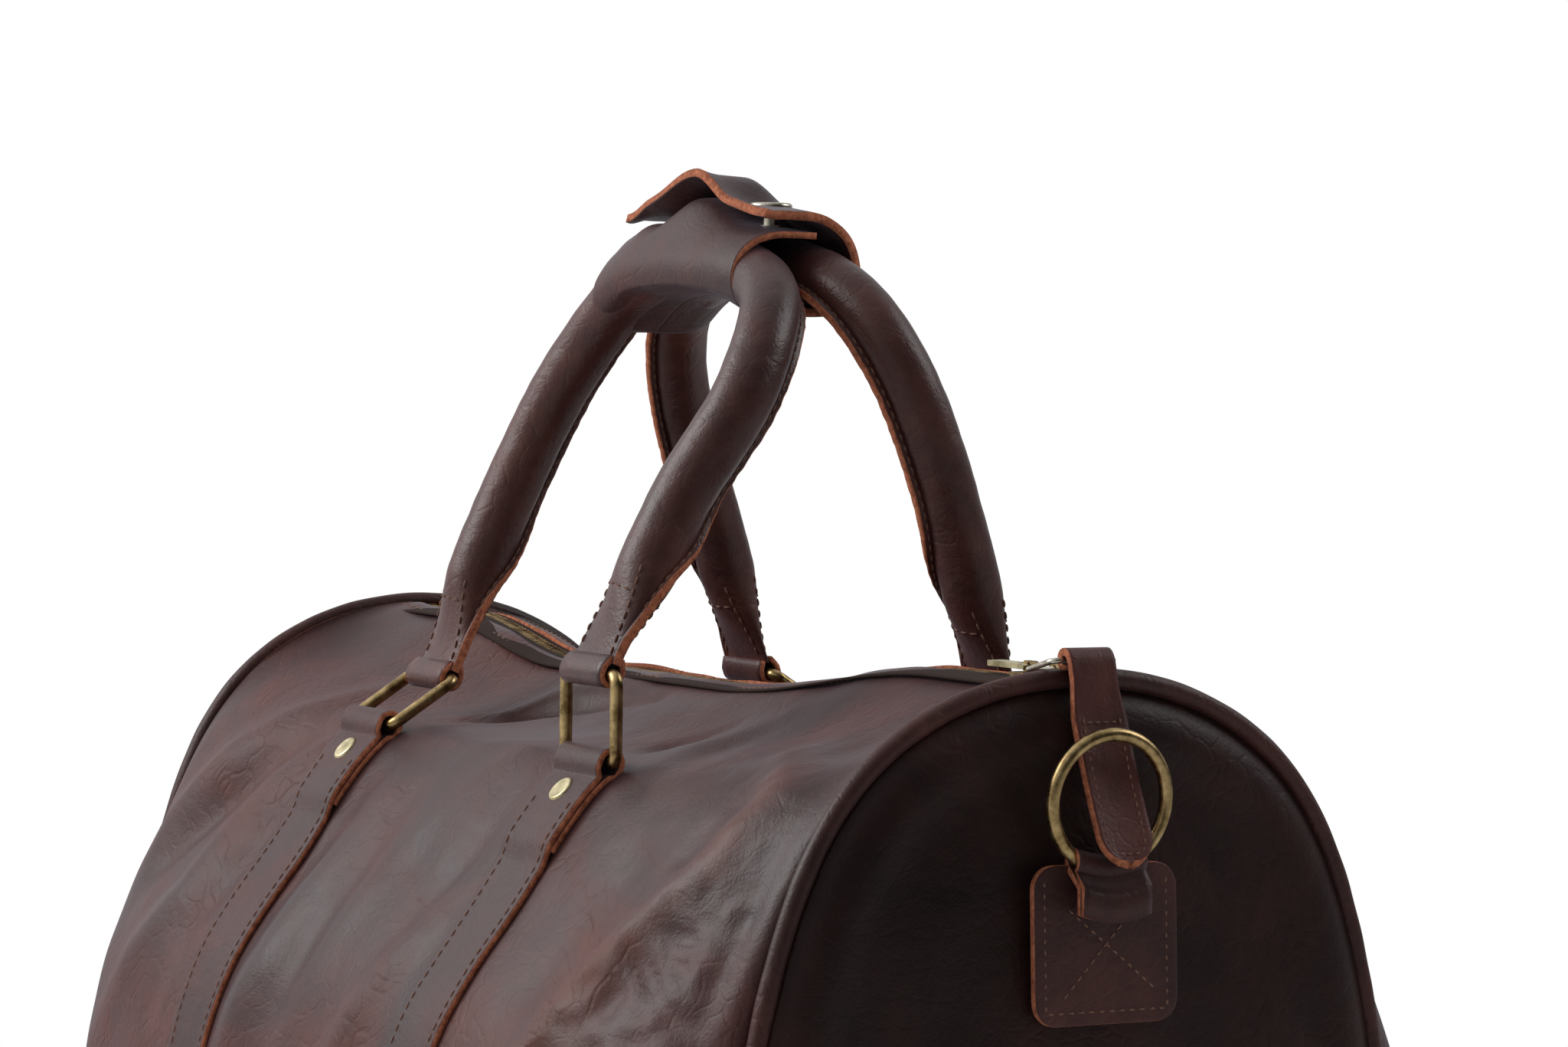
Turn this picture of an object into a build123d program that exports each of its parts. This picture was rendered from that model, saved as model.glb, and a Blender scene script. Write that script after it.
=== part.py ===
"""Leather weekend duffel bag, drawn as the pieces it is sewn and riveted from.

X runs along the bag (+X is the end that the zip closes at), -Y is its front, Z is up.
The origin is on the floor under the middle of the bag. Sizes are in millimetres.
"""
from build123d import *
from math import cos, hypot, radians, sin, sqrt
import os

os.makedirs("parts", exist_ok=True)

# Body
seam_to_seam = 510.0  # between the piped seams of the two ends
leather = 2.0
fit_gap = 0.3  # between leather pieces that lie on each other
foot_height = 5.0
zip_height = 287.0  # top of the leather beside the zip
bottom_seam_rise = 14.0  # of the seam round the bottom panel, above the bottom

# Cross-section in the middle of the bag: half-widths and heights
mid_base, mid_belly, mid_belly_z = 105.0, 169.0, 110.0
mid_shoulder, mid_shoulder_z = 92.0, 246.0
mid_bulge_low, mid_bulge_high, mid_roof_lift = 15.0, 10.0, -2.0

# Cross-section at the end seams, rounder and narrower
end_base, end_belly, end_belly_z = 92.0, 127.0, 75.0
end_shoulder, end_shoulder_z = 83.0, 254.0
end_bulge_low, end_bulge_high, end_roof_lift = 11.5, 14.0, 10.0
puff_power = 6.0  # how late, and so how sharply, the body draws in to its ends

# Ends and their piping
piping_width = 7.0
end_crown = 8.0  # how far an end panel domes out
crown_centre_z = 146.0
crown_reach = 130.0  # half-width over which the dome reaches its height

# Lining, base board and feet
lining_thickness = 0.8
board_length, board_width, board_thickness = seam_to_seam - 54.0, 160.0, 3.0
foot_x, foot_y = seam_to_seam / 2 - 60.0, 62.0
foot_radius, foot_sole_radius, foot_shank_radius = 9.0, 5.5, 2.0
washer_radius, washer_thickness = 7.0, 0.8
shank_clearance = 0.1

# Straps and rectangular rings
strap_x = 92.0  # each side of the middle
strap_width = 33.0
strap_fold = 36.0  # length of the doubled end below the ring
wire = 4.5  # thickness of every ring's wire
wire_clearance = 0.4
ring_width, ring_pitch, ring_corner = strap_width + 5.5, 30.0, 3.5  # between wire centres
eye_lift = 5.0  # how far the ring's lower bar stands off the leather
front_leans = {"right": 0.0, "left": 57.0}  # of the rings, inwards from upright
back_leans = {"right": 58.0, "left": 58.0}

# Rivets
rivet_cap_radius, rivet_cap_height, rivet_shank_radius = 5.25, 1.4, 1.5
rivet_drop = 14.0  # below the ring's bar, along the strap
burr_radius, burr_height = 4.0, 0.8

# Rolled handles
handle_radius, core_radius, core_clearance = 11.0, 9.0, 0.1
handle_top_z, handle_top_y = 424.0, 14.0
handle_right_x, handle_left_x = 100.0, 84.0  # of the arch's corners
handle_arch_radius = 50.0
taper_length, taper_start = 42.0, 4.0  # flat end to full roll, from the ring's bar
flat_half_thickness = 2.3

# Grip wrap and its snaps
wrap_length, wrap_centre_x = 110.0, 8.0
wrap_slack, wrap_spread = 3.2, 2.5  # below and beside the handles, where they curve inside it
hinge_gap = 0.8  # each side of the line under the handles that the flap opens about
flap_lift = 7.5  # of the flat under the snaps, above the layer inside it
flap_lip_y, flap_lip_lift = -15.5, 11.0  # the front edge, which springs up between the snaps
snap_spread = 30.0  # of the two snaps, each side of the wrap's middle
snap_y, snap_flat = 3.0, 17.0
snap_cap_radius, snap_cap_height = 8.0, 1.6
snap_shank_radius, snap_socket_radius, snap_post_radius = 2.0, 5.0, 2.6

# Zip
slot_half = 7.0
tape_half, tape_thickness = 18.0, 0.8
chain_half, chain_height, chain_gap = 3.1, 2.2, 1.0
zip_left, zip_right = 9.0 - seam_to_seam / 2, seam_to_seam / 2 - 6.0
slider_length, slider_width, slider_plate = 14.0, 10.5, 1.2
slider_clearance, web_thickness = 0.25, 0.5
slider_a_x, slider_b_x = seam_to_seam / 2 - 29.0, seam_to_seam / 2 - 13.0
crown_height, crown_bar = 3.6, 1.4
pull_length, pull_width, pull_thickness = 23.0, 7.0, 1.8
pull_ear_length, pull_ear_width = 2.6, 1.7  # of the two arms that hold the pull's own pin
yoke_length, yoke_width, yoke_wire = 17.0, 24.0, 2.0
yoke_tilt = 14.0  # upwards, over the piping
leather_pull_length, leather_pull_width, leather_pull_layer = 64.0, 20.0, 1.5
leather_pull_tilt = 20.0  # outwards from hanging, through the round ring

# End tabs and their round rings
tab_width, tab_bottom_z, tab_top_z = 55.0, 172.0, 221.0
tab_corner, tab_loop_width, tab_eye_z = 7.0, 18.0, 227.0
o_ring_radius = 21.6  # to the wire's centre
o_ring_lean = 4.0  # of the right ring, outwards from upright

# Values that follow from those above
half_length = seam_to_seam / 2
panel_end = half_length - piping_width / 2 - 0.2
crown_x = half_length + piping_width / 2 + end_crown
crown_sphere = (crown_reach**2 + end_crown**2) / (2 * end_crown)
wire_radius = wire / 2
eye_inner = wire_radius + wire_clearance
eye_outer = eye_inner + leather
lining_out = leather + fit_gap
lining_in = lining_out + lining_thickness
board_z = foot_height + lining_in + fit_gap
lining_end = panel_end - 3.0


def puff(x):
    """Share of the middle section's shape that the body has at x: 1 in the middle, 0 at a seam."""
    return sqrt(max(0.0, 1 - (abs(x) / panel_end) ** puff_power))


def mix(end_value, middle_value, share):
    return end_value + (middle_value - end_value) * share


def side_points(x, inset=0.0):
    """Half of the cross-section at x, from the base's middle edge up to the zip line."""
    share = puff(x)
    base = mix(end_base, mid_base, share)
    belly, belly_z = mix(end_belly, mid_belly, share), mix(end_belly_z, mid_belly_z, share)
    shoulder = mix(end_shoulder, mid_shoulder, share)
    shoulder_z = mix(end_shoulder_z, mid_shoulder_z, share)
    corner_width, corner_height = belly - base, belly_z - foot_height
    points = [(base, foot_height)]
    for angle in (30, 60, 90):
        turn = radians(angle)
        points.append((base + corner_width * sin(turn), belly_z - corner_height * cos(turn)))
    chord_y, chord_z = shoulder - belly, shoulder_z - belly_z
    chord = hypot(chord_y, chord_z)
    bulges = mix(end_bulge_low, mid_bulge_low, share), mix(end_bulge_high, mid_bulge_high, share)
    for step, bulge in zip((1 / 3, 2 / 3), bulges):
        points.append((belly + chord_y * step + bulge * chord_z / chord,
                       belly_z + chord_z * step - bulge * chord_y / chord))
    points.append((shoulder, shoulder_z))
    roof_lift = mix(end_roof_lift, mid_roof_lift, share)
    points.append((shoulder / 2, (shoulder_z + zip_height) / 2 + roof_lift))
    points.append((0.0, zip_height))
    return moved_in(points, inset)


def moved_in(points, inset):
    """The same points, moved towards the inside of the section by inset."""
    moved = []
    for index, (y, z) in enumerate(points):
        if index == 0:
            moved.append((y, z + inset))
        elif index == len(points) - 1:
            moved.append((y, z - inset))
        else:
            before, after = points[index - 1], points[index + 1]
            along_y, along_z = after[0] - before[0], after[1] - before[1]
            reach = hypot(along_y, along_z)
            moved.append((y - inset * along_z / reach, z + inset * along_y / reach))
    return moved


def section(x, inset=0.0, shape_x=None):
    """Sketch of the closed cross-section, at x, with the shape it has at shape_x."""
    right = side_points(x if shape_x is None else shape_x, inset)
    left = [(-y, z) for y, z in reversed(right[:-1])]
    with BuildSketch(Plane.YZ.offset(x)) as outline:
        with BuildLine():
            Spline(*(right + left), tangents=((1, 0), (1, 0)), tangent_scalars=(0.5, 0.5))
            Line(left[-1], right[0])
        make_face()
    return outline.sketch


def body_stations():
    """Places along X where the cross-section is drawn, closer together towards the ends."""
    half = [panel_end * share for share in (1, 0.97, 0.9, 0.78, 0.6)] + [strap_x]
    return [-x for x in half] + [0] + half[::-1]


def shoulder_curve():
    """The body's outline at the straps, and the distance along it of its front shoulder."""
    curve = section(strap_x).edges().sort_by(SortBy.LENGTH)[-1]
    shoulder_y, shoulder_z = side_points(strap_x)[-3]
    return curve, curve.param_at_point((strap_x, shoulder_y, shoulder_z)) * curve.length


body_curve, shoulder_at = shoulder_curve()


def strap_surface(drop):
    """Point and outward normal of the body's back face, drop below the shoulder along it."""
    at = shoulder_at - drop
    point = body_curve.position_at(at, position_mode=PositionMode.LENGTH)
    along = body_curve.tangent_at(at, position_mode=PositionMode.LENGTH)
    return (point.Y, point.Z), (along.Z, -along.Y)


# Where the rings turn: their lower bars, just above the shoulder of the body
(surface_y, surface_z), (normal_y, normal_z) = strap_surface(0.0)
ring_y = surface_y + normal_y * eye_lift
ring_z = surface_z + normal_z * eye_lift

# ---------------------------------------------------------------- body shell
with BuildPart() as outer_body:
    for x in body_stations():
        add(section(x))
    loft(ruled=True)

with BuildPart() as inner_body:
    add(section(-panel_end - 5, leather, -panel_end))
    for x in body_stations():
        add(section(x, leather))
    add(section(panel_end + 5, leather, panel_end))
    loft(ruled=True)

bottom_seam_z = foot_height + bottom_seam_rise
body_box = 2 * (half_length + 60)


def keep_between(low_y, high_y, low_z, high_z):
    """Cut the shell that is being built down to one panel's share, over the bag's length."""
    with Locations((0, (low_y + high_y) / 2, (low_z + high_z) / 2)):
        Box(body_box, high_y - low_y, high_z - low_z, mode=Mode.INTERSECT)


seam_half_gap = fit_gap / 2
far, above = mid_belly + 80, zip_height + 60

with BuildPart() as front_panel:
    add(outer_body.part)
    add(inner_body.part, mode=Mode.SUBTRACT)
    keep_between(-far, -slot_half, bottom_seam_z + seam_half_gap, above)

with BuildPart() as back_panel:
    add(outer_body.part)
    add(inner_body.part, mode=Mode.SUBTRACT)
    keep_between(slot_half, far, bottom_seam_z + seam_half_gap, above)

with BuildPart() as bottom_panel:
    add(outer_body.part)
    add(inner_body.part, mode=Mode.SUBTRACT)
    keep_between(-far, far, -1, bottom_seam_z - seam_half_gap)
    with Locations(*[(x, y, foot_height) for x in (-foot_x, foot_x) for y in (-foot_y, foot_y)]):
        Cylinder(foot_shank_radius + shank_clearance, 6 * leather, mode=Mode.SUBTRACT)


def end_panel(side):
    """Domed D-shaped panel that closes one end, inside the ring of its piping."""
    centre_x = side * (crown_x - crown_sphere)
    with BuildPart() as panel:
        add(section(side * (half_length - 20), piping_width / 2 + fit_gap, panel_end))
        extrude(amount=20 + end_crown + piping_width, dir=(side, 0, 0))
        with Locations((centre_x, 0, crown_centre_z)):
            Sphere(crown_sphere, mode=Mode.INTERSECT)
            Sphere(crown_sphere - leather, mode=Mode.SUBTRACT)
    return panel


def piping(side):
    """Welt with a round nose that stands out of the seam between the body and an end panel."""
    nose = piping_width / 2 - 0.1
    with BuildPart() as welt:
        for angle in (-90, -45, 0, 45, 90):
            turn = radians(angle)
            add(section(side * half_length + nose * sin(turn), -nose * cos(turn), panel_end))
        loft(ruled=True)
        with BuildPart(mode=Mode.PRIVATE) as hollow:
            add(section(side * half_length - piping_width, nose, panel_end))
            extrude(amount=2 * piping_width, dir=(1, 0, 0))
        add(hollow.part, mode=Mode.SUBTRACT)
    return welt


end_panel_right, end_panel_left = end_panel(1), end_panel(-1)
piping_right, piping_left = piping(1), piping(-1)

# ---------------------------------------------------------------- lining, base board and feet
foot_places = [(x, y) for x in (-foot_x, foot_x) for y in (-foot_y, foot_y)]

with BuildPart() as lining:
    for x in body_stations():
        add(section(x, lining_out))
    loft(ruled=True)
    Box(2 * lining_end, body_box, body_box, mode=Mode.INTERSECT)
    with BuildPart(mode=Mode.PRIVATE) as room:
        for x in body_stations():
            add(section(x, lining_in))
        loft(ruled=True)
        Box(2 * (lining_end - lining_thickness), body_box, body_box, mode=Mode.INTERSECT)
    add(room.part, mode=Mode.SUBTRACT)
    with Locations((0, 0, zip_height)):
        Box(body_box, 2 * (tape_half + 2), 40, mode=Mode.SUBTRACT)
    with Locations(*[(x, y, foot_height) for x, y in foot_places]):
        Cylinder(foot_shank_radius + shank_clearance, 6 * leather, mode=Mode.SUBTRACT)

with BuildPart() as base_board:
    with BuildSketch(Plane.XY.offset(board_z)):
        RectangleRounded(board_length, board_width, 25)
        with Locations(*foot_places):
            Circle(foot_shank_radius + shank_clearance, mode=Mode.SUBTRACT)
    extrude(amount=board_thickness)

washer_z = board_z + board_thickness

foot_rim, foot_under = foot_height - 1.2, foot_height - 0.1
shank_top = washer_z + washer_thickness + 0.6

with BuildPart() as foot:
    with BuildSketch(Plane.XZ):
        with BuildLine():
            Line((0, 0), (foot_sole_radius, 0))
            RadiusArc((foot_sole_radius, 0), (foot_radius, foot_rim), -7)
            Polyline((foot_radius, foot_rim), (foot_radius, foot_under), (foot_shank_radius, foot_under),
                     (foot_shank_radius, shank_top), (0, shank_top), (0, 0))
        make_face()
    revolve(axis=Axis.Z)

with BuildPart() as feet:
    with Locations(*[(x, y, 0) for x, y in foot_places]):
        add(foot.part)

with BuildPart() as foot_washers:
    with BuildSketch(Plane.XY.offset(washer_z)):
        with Locations(*foot_places):
            Circle(washer_radius)
            Circle(foot_shank_radius + shank_clearance, mode=Mode.SUBTRACT)
    extrude(amount=washer_thickness)

# ---------------------------------------------------------------- straps, rivets


def strap_layer(low_drop, outer_lift):
    """Corners of one layer of the back end of the strap, from the shoulder to low_drop below it."""
    steps = [low_drop * share for share in (0, 0.25, 0.5, 0.75, 1)]
    surface = [strap_surface(step) for step in steps]
    outer = [(y + out_y * outer_lift, z + out_z * outer_lift) for (y, z), (out_y, out_z) in surface]
    inner = [(y - out_y, z - out_z) for (y, z), (out_y, out_z) in surface]
    return outer + inner[::-1]


def strap(x):
    """One strap: from the front ring down under the bag and up to the back ring, ends doubled."""
    to_shoulder = slice(0, len(side_points(strap_x)) - 2)
    outer_side = side_points(strap_x, -leather)[to_shoulder]
    inner_side = side_points(strap_x, leather / 2)[to_shoulder]
    underside = [mid_base * share for share in (-0.92, -0.8, -0.4, 0, 0.4, 0.8, 0.92)]
    outer, inner = ([(-y, z) for y, z in reversed(half)] + [(y, half[0][1]) for y in underside] + half
                    for half in (outer_side, inner_side))
    with BuildPart() as band:
        with BuildSketch(Plane.YZ.offset(x - strap_width / 2)):
            with BuildLine():
                Spline(*outer)
                Spline(*inner)
                Line(outer[0], inner[0])
                Line(outer[-1], inner[-1])
            make_face()
            for side in (-1, 1):
                Polygon(*[(side * y, z) for y, z in strap_layer(strap_fold, 2 * leather)], align=None)
                with Locations((side * ring_y, ring_z)):
                    Circle(eye_outer)
            for side in (-1, 1):
                with Locations((side * ring_y, ring_z)):
                    Circle(eye_inner, mode=Mode.SUBTRACT)
        extrude(amount=strap_width)
        add(outer_body.part, mode=Mode.SUBTRACT)
        for side in (-1, 1):
            with BuildPart(rivet_plane(side, x), mode=Mode.PRIVATE) as drill:
                Cylinder(rivet_shank_radius + 0.1, 30)
            add(drill.part, mode=Mode.SUBTRACT)
    return band


def rivet_plane(side, x):
    """Plane on the strap's outer face at its rivet, looking outwards."""
    (y, z), (out_y, out_z) = strap_surface(rivet_drop)
    lift = 2 * leather
    return Plane(origin=(x, side * (y + out_y * lift), z + out_z * lift), z_dir=(0, side * out_y, out_z))


strap_right, strap_left = strap(strap_x), strap(-strap_x)
rivet_planes = [rivet_plane(side, x) for side in (-1, 1) for x in (-strap_x, strap_x)]
rivet_grip = 2 * leather + lining_in + fit_gap  # strap, its fold, the body's leather and lining

with BuildPart() as strap_rivets:
    for plane in rivet_planes:
        with BuildPart(plane, mode=Mode.PRIVATE) as rivet:
            Cylinder(rivet_cap_radius, rivet_cap_height, align=(Align.CENTER, Align.CENTER, Align.MIN))
            fillet(rivet.edges().group_by(Axis(plane.origin, plane.z_dir))[-1], rivet_cap_height * 0.8)
            Cylinder(rivet_shank_radius, rivet_grip, align=(Align.CENTER, Align.CENTER, Align.MAX))
        add(rivet.part)

with BuildPart() as rivet_burrs:
    for plane in rivet_planes:
        with BuildPart(plane.offset(-rivet_grip), mode=Mode.PRIVATE) as burr:
            Cylinder(burr_radius, burr_height, align=(Align.CENTER, Align.CENTER, Align.MAX))
        add(burr.part)

for panel in (front_panel, back_panel, lining):
    for plane in rivet_planes:
        with BuildPart(plane, mode=Mode.PRIVATE) as drill:
            Cylinder(rivet_shank_radius + 0.1, 40)
        panel.part = panel.part - drill.part

# ---------------------------------------------------------------- zip
tape_inset = leather + 0.2
tape_top = zip_height - tape_inset
chain_z = tape_top - tape_thickness / 2


def zip_tape(side):
    """Woven tape sewn under one edge of the slot, following the roof of the bag."""
    with BuildPart() as tape:
        for x in body_stations():
            add(section(x, tape_inset))
        loft(ruled=True)
        with BuildPart(mode=Mode.PRIVATE) as below:
            for x in body_stations():
                add(section(x, tape_inset + tape_thickness))
            loft(ruled=True)
        add(below.part, mode=Mode.SUBTRACT)
        with Locations(((zip_left + zip_right) / 2, side * (chain_half + tape_half) / 2, zip_height)):
            Box(zip_right - zip_left + 3, tape_half - chain_half, 60, mode=Mode.INTERSECT)
    return tape


def zip_teeth(side):
    """One side's row of teeth, drawn as the bar that the meshed teeth fill."""
    with BuildPart() as row:
        width = chain_half - chain_gap / 2
        with Locations(((zip_left + zip_right) / 2, side * (chain_half - width / 2), chain_z)):
            Box(zip_right - zip_left, width, chain_height)
    return row


zip_tape_front, zip_tape_back = zip_tape(-1), zip_tape(1)
zip_teeth_front, zip_teeth_back = zip_teeth(-1), zip_teeth(1)

with BuildPart() as zip_stops:
    with Locations((zip_left - 1.2, 0, chain_z), (zip_right + 0.9, 0, chain_z)):
        Box(1.6, 2 * chain_half - 0.2, chain_height + 0.8)

channel_low = chain_z - chain_height / 2 - slider_clearance
channel_high = chain_z + chain_height / 2 + slider_clearance
slider_top = channel_high + slider_plate
crown_z = slider_top + crown_height / 2 + 0.1


def slider(x):
    """Zip slider: two plates joined by a web between the rows, with a crown for its pull."""
    up = (Align.CENTER, Align.CENTER, Align.MIN)
    with BuildPart() as body:
        for low in (channel_low - slider_plate, channel_high):
            with BuildSketch(Plane.XY.offset(low)):
                with Locations((x, 0)):
                    RectangleRounded(slider_length, slider_width, 2.5)
            extrude(amount=slider_plate)
        flange_y = (slider_width / 2 + chain_half + slider_clearance) / 2
        flange_width = slider_width / 2 - chain_half - slider_clearance
        flange_height = channel_high - tape_top - slider_clearance
        flange_low = channel_high - flange_height
        with Locations((x, -flange_y, flange_low), (x, flange_y, flange_low)):
            Box(slider_length * 0.6, flange_width, flange_height + 0.1, align=up)
        with Locations((x, 0, channel_low - 0.1)):
            Box(slider_length / 4, web_thickness, channel_high - channel_low + 0.2, align=up)
        with BuildSketch(Plane.XZ.offset(-1)):
            with Locations((x, crown_z)):
                RectangleRounded(2 * crown_height, crown_height + 0.4, 1.6)
                Circle(crown_bar, mode=Mode.SUBTRACT)
        extrude(amount=2)
    return body


slider_a, slider_b = slider(slider_a_x), slider(slider_b_x)

with BuildPart() as slider_a_pull:
    bar_radius = pull_thickness / 2
    with BuildSketch(Plane.XY.offset(crown_z - bar_radius)):
        with Locations((slider_a_x - pull_length / 2, 0)):
            RectangleRounded(pull_length, pull_width, 1.6)
        with Locations((slider_a_x - crown_height, 0)):
            Rectangle(2 * crown_height - 1.0, 3.6, mode=Mode.SUBTRACT)
    extrude(amount=pull_thickness)
    with Locations(Location((slider_a_x, 0, crown_z), (90, 0, 0))):
        Cylinder(bar_radius, pull_width)
    ear_x, ear_y = slider_a_x - pull_ear_length / 2, (pull_width - pull_ear_width) / 2
    with Locations((ear_x, ear_y, crown_z), (ear_x, -ear_y, crown_z)):
        Box(pull_ear_length, pull_ear_width, pull_thickness)

yoke_rise, yoke_run = sin(radians(yoke_tilt)), cos(radians(yoke_tilt))
yoke_plane = Plane(origin=(slider_b_x, 0, crown_z),
                   z_dir=(-yoke_rise, 0, yoke_run), x_dir=(yoke_run, 0, yoke_rise))
yoke_end = yoke_plane.from_local_coords((yoke_length, 0, 0))


def wire_loop(plane, length, width, corner, radius):
    """Closed loop of round wire in a plane, from its origin to length along its X."""
    with BuildSketch(plane, mode=Mode.PRIVATE) as path:
        with Locations((length / 2, 0)):
            RectangleRounded(length, width, corner)
    wire_path = path.sketch.face().outer_wire()
    start = Plane(origin=wire_path @ 0, z_dir=wire_path % 0)
    with BuildPart() as loop:
        with BuildSketch(start):
            Circle(radius)
        sweep(path=wire_path)
    return loop


slider_b_yoke = wire_loop(yoke_plane, yoke_length, yoke_width, 2.5, yoke_wire / 2)

pull_down = (sin(radians(leather_pull_tilt)), 0, -cos(radians(leather_pull_tilt)))
pull_plane = Plane(origin=yoke_end, x_dir=pull_down, z_dir=Vector(pull_down).cross(Vector(0, 1, 0)))
leather_pull_eye = yoke_wire / 2 + 0.3

with BuildPart() as leather_pull:
    with BuildSketch(pull_plane.offset(-leather_pull_layer)):
        with Locations((leather_pull_length / 2, 0)):
            RectangleRounded(leather_pull_length, leather_pull_width, leather_pull_width / 2 - 0.01)
        with Locations((leather_pull_length / 4, 0)):
            Rectangle(leather_pull_length / 2, leather_pull_width)
    extrude(amount=2 * leather_pull_layer)
    with Locations(Location(yoke_end, (90, 0, 0))):
        Cylinder(leather_pull_eye + leather_pull_layer, leather_pull_width)
        Cylinder(leather_pull_eye, leather_pull_width + 1, mode=Mode.SUBTRACT)

# ---------------------------------------------------------------- end tabs and round rings
loop_rise = o_ring_radius - sqrt(o_ring_radius**2 - (tab_loop_width / 2) ** 2)
tab_eye_inner = wire_radius + loop_rise + fit_gap
tab_eye_outer = tab_eye_inner + leather
tab_back_x = crown_x + fit_gap
tab_face_x = tab_back_x + 2 * leather
o_ring_axis_x = tab_face_x + wire_radius + fit_gap


def ring_tab(side):
    """Folded leather patch stitched to an end panel, with the loop that holds the round ring."""
    middle_x = side * (tab_back_x + tab_face_x) / 2
    with BuildPart() as tab:
        with BuildSketch(Plane.YZ.offset(middle_x - leather)):
            with Locations((0, (tab_bottom_z + tab_top_z) / 2)):
                RectangleRounded(tab_width, tab_top_z - tab_bottom_z, tab_corner)
            with Locations((0, (tab_top_z + tab_eye_z) / 2)):
                Rectangle(tab_loop_width, tab_eye_z - tab_top_z + 4)
        extrude(amount=2 * leather)
        with Locations(Location((side * o_ring_axis_x, 0, tab_eye_z), (90, 0, 0))):
            Cylinder(tab_eye_outer, tab_loop_width)
            Cylinder(tab_eye_inner, tab_loop_width + 1, mode=Mode.SUBTRACT)
    return tab


def o_ring(side, turn):
    """Round ring, turned outwards by turn degrees from standing up in its tab's loop."""
    out_x, up_z = side * sin(radians(turn)), cos(radians(turn))
    centre = (side * o_ring_axis_x + out_x * o_ring_radius, 0, tab_eye_z + up_z * o_ring_radius)
    with BuildPart() as ring:
        with Locations(Plane(origin=centre, z_dir=(up_z, 0, -out_x), x_dir=(0, 1, 0))):
            Torus(o_ring_radius, wire_radius)
    return ring


ring_tab_right, ring_tab_left = ring_tab(1), ring_tab(-1)
o_ring_right, o_ring_left = o_ring(1, o_ring_lean), o_ring(-1, 180.0)

# ---------------------------------------------------------------- rectangular rings and handles


def upper_bar(side, x, lean):
    """Middle of a ring's upper bar, when the ring leans inwards by lean degrees from upright."""
    inwards, upwards = ring_pitch * sin(radians(lean)), ring_pitch * cos(radians(lean))
    return Vector(x, side * (ring_y - inwards), ring_z + upwards)


def strap_ring(side, x, lean):
    """Rectangular ring of round wire that joins a strap to a handle."""
    lower = Vector(x, side * ring_y, ring_z)
    along = (upper_bar(side, x, lean) - lower).normalized()
    plane = Plane(origin=lower, x_dir=along, z_dir=along.cross(Vector(1, 0, 0)))
    return wire_loop(plane, ring_pitch, ring_width, ring_corner, wire_radius)


ring_front_right = strap_ring(-1, strap_x, front_leans["right"])
ring_front_left = strap_ring(-1, -strap_x, front_leans["left"])
ring_back_right = strap_ring(1, strap_x, back_leans["right"])
ring_back_left = strap_ring(1, -strap_x, back_leans["left"])


def handle_ends(side, leans):
    """For each end: the ring bar it folds round, its direction, and where the full roll starts."""
    corners = {"right": Vector(handle_right_x, side * handle_top_y, handle_top_z),
               "left": Vector(-handle_left_x, side * handle_top_y, handle_top_z)}
    ends = {}
    for name, x in (("right", strap_x), ("left", -strap_x)):
        bar = upper_bar(side, x, leans[name])
        along = (corners[name] - bar).normalized()
        ends[name] = (bar, along, bar + along * taper_length, corners[name])
    return ends


def roll(ends, radius):
    """Round bar of one radius along the handle's arch, between its two tapers."""
    with BuildLine(mode=Mode.PRIVATE) as arch:
        FilletPolyline(ends["right"][2], ends["right"][3], ends["left"][3], ends["left"][2],
                       radius=handle_arch_radius)
    with BuildPart() as bar:
        with BuildSketch(Plane(origin=ends["right"][2], z_dir=ends["right"][1])):
            Circle(radius)
        sweep(path=arch.line)
    return bar


def handle(side, leans):
    """Leather cover of a rolled handle, hollow for its rope core, with its two folded ends."""
    ends = handle_ends(side, leans)
    with BuildPart() as cover:
        add(roll(ends, handle_radius).part)
        for bar, along, full, corner in ends.values():
            across = (Vector(1, 0, 0) - along * along.X).normalized()
            with BuildPart(mode=Mode.PRIVATE) as taper:
                with BuildSketch(Plane(origin=bar + along * taper_start, x_dir=across, z_dir=along)):
                    Ellipse(strap_width / 2, flat_half_thickness)
                with BuildSketch(Plane(origin=full, x_dir=across, z_dir=along)):
                    Circle(handle_radius)
                loft()
            add(taper.part)
            with Locations(Location(bar, (0, 90, 0))):
                Cylinder(eye_outer, strap_width)
        for bar, along, full, corner in ends.values():
            with Locations(Location(bar, (0, 90, 0))):
                Cylinder(eye_inner, strap_width + 1, mode=Mode.SUBTRACT)
        add(roll(ends, core_radius + core_clearance).part, mode=Mode.SUBTRACT)
    return cover


handle_front, handle_back = handle(-1, front_leans), handle(1, back_leans)
handle_core_front = roll(handle_ends(-1, front_leans), core_radius)
handle_core_back = roll(handle_ends(1, back_leans), core_radius)

# ---------------------------------------------------------------- grip wrap and snaps
wrap_half = handle_radius + fit_gap + leather / 2  # from a handle's centre to the wrap's middle
wrap_top = handle_top_z + wrap_half
wrap_bottom = handle_top_z - wrap_half - wrap_slack
wrap_turn_z = wrap_bottom + wrap_half
flat_z = wrap_top + flap_lift
wrap_plane = Plane.YZ.offset(wrap_centre_x - wrap_length / 2)
front_y, back_y = -handle_top_y - wrap_spread, handle_top_y + wrap_spread


def on_arc(centre_y, centre_z, angle):
    return centre_y + wrap_half * cos(radians(angle)), centre_z + wrap_half * sin(radians(angle))


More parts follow.
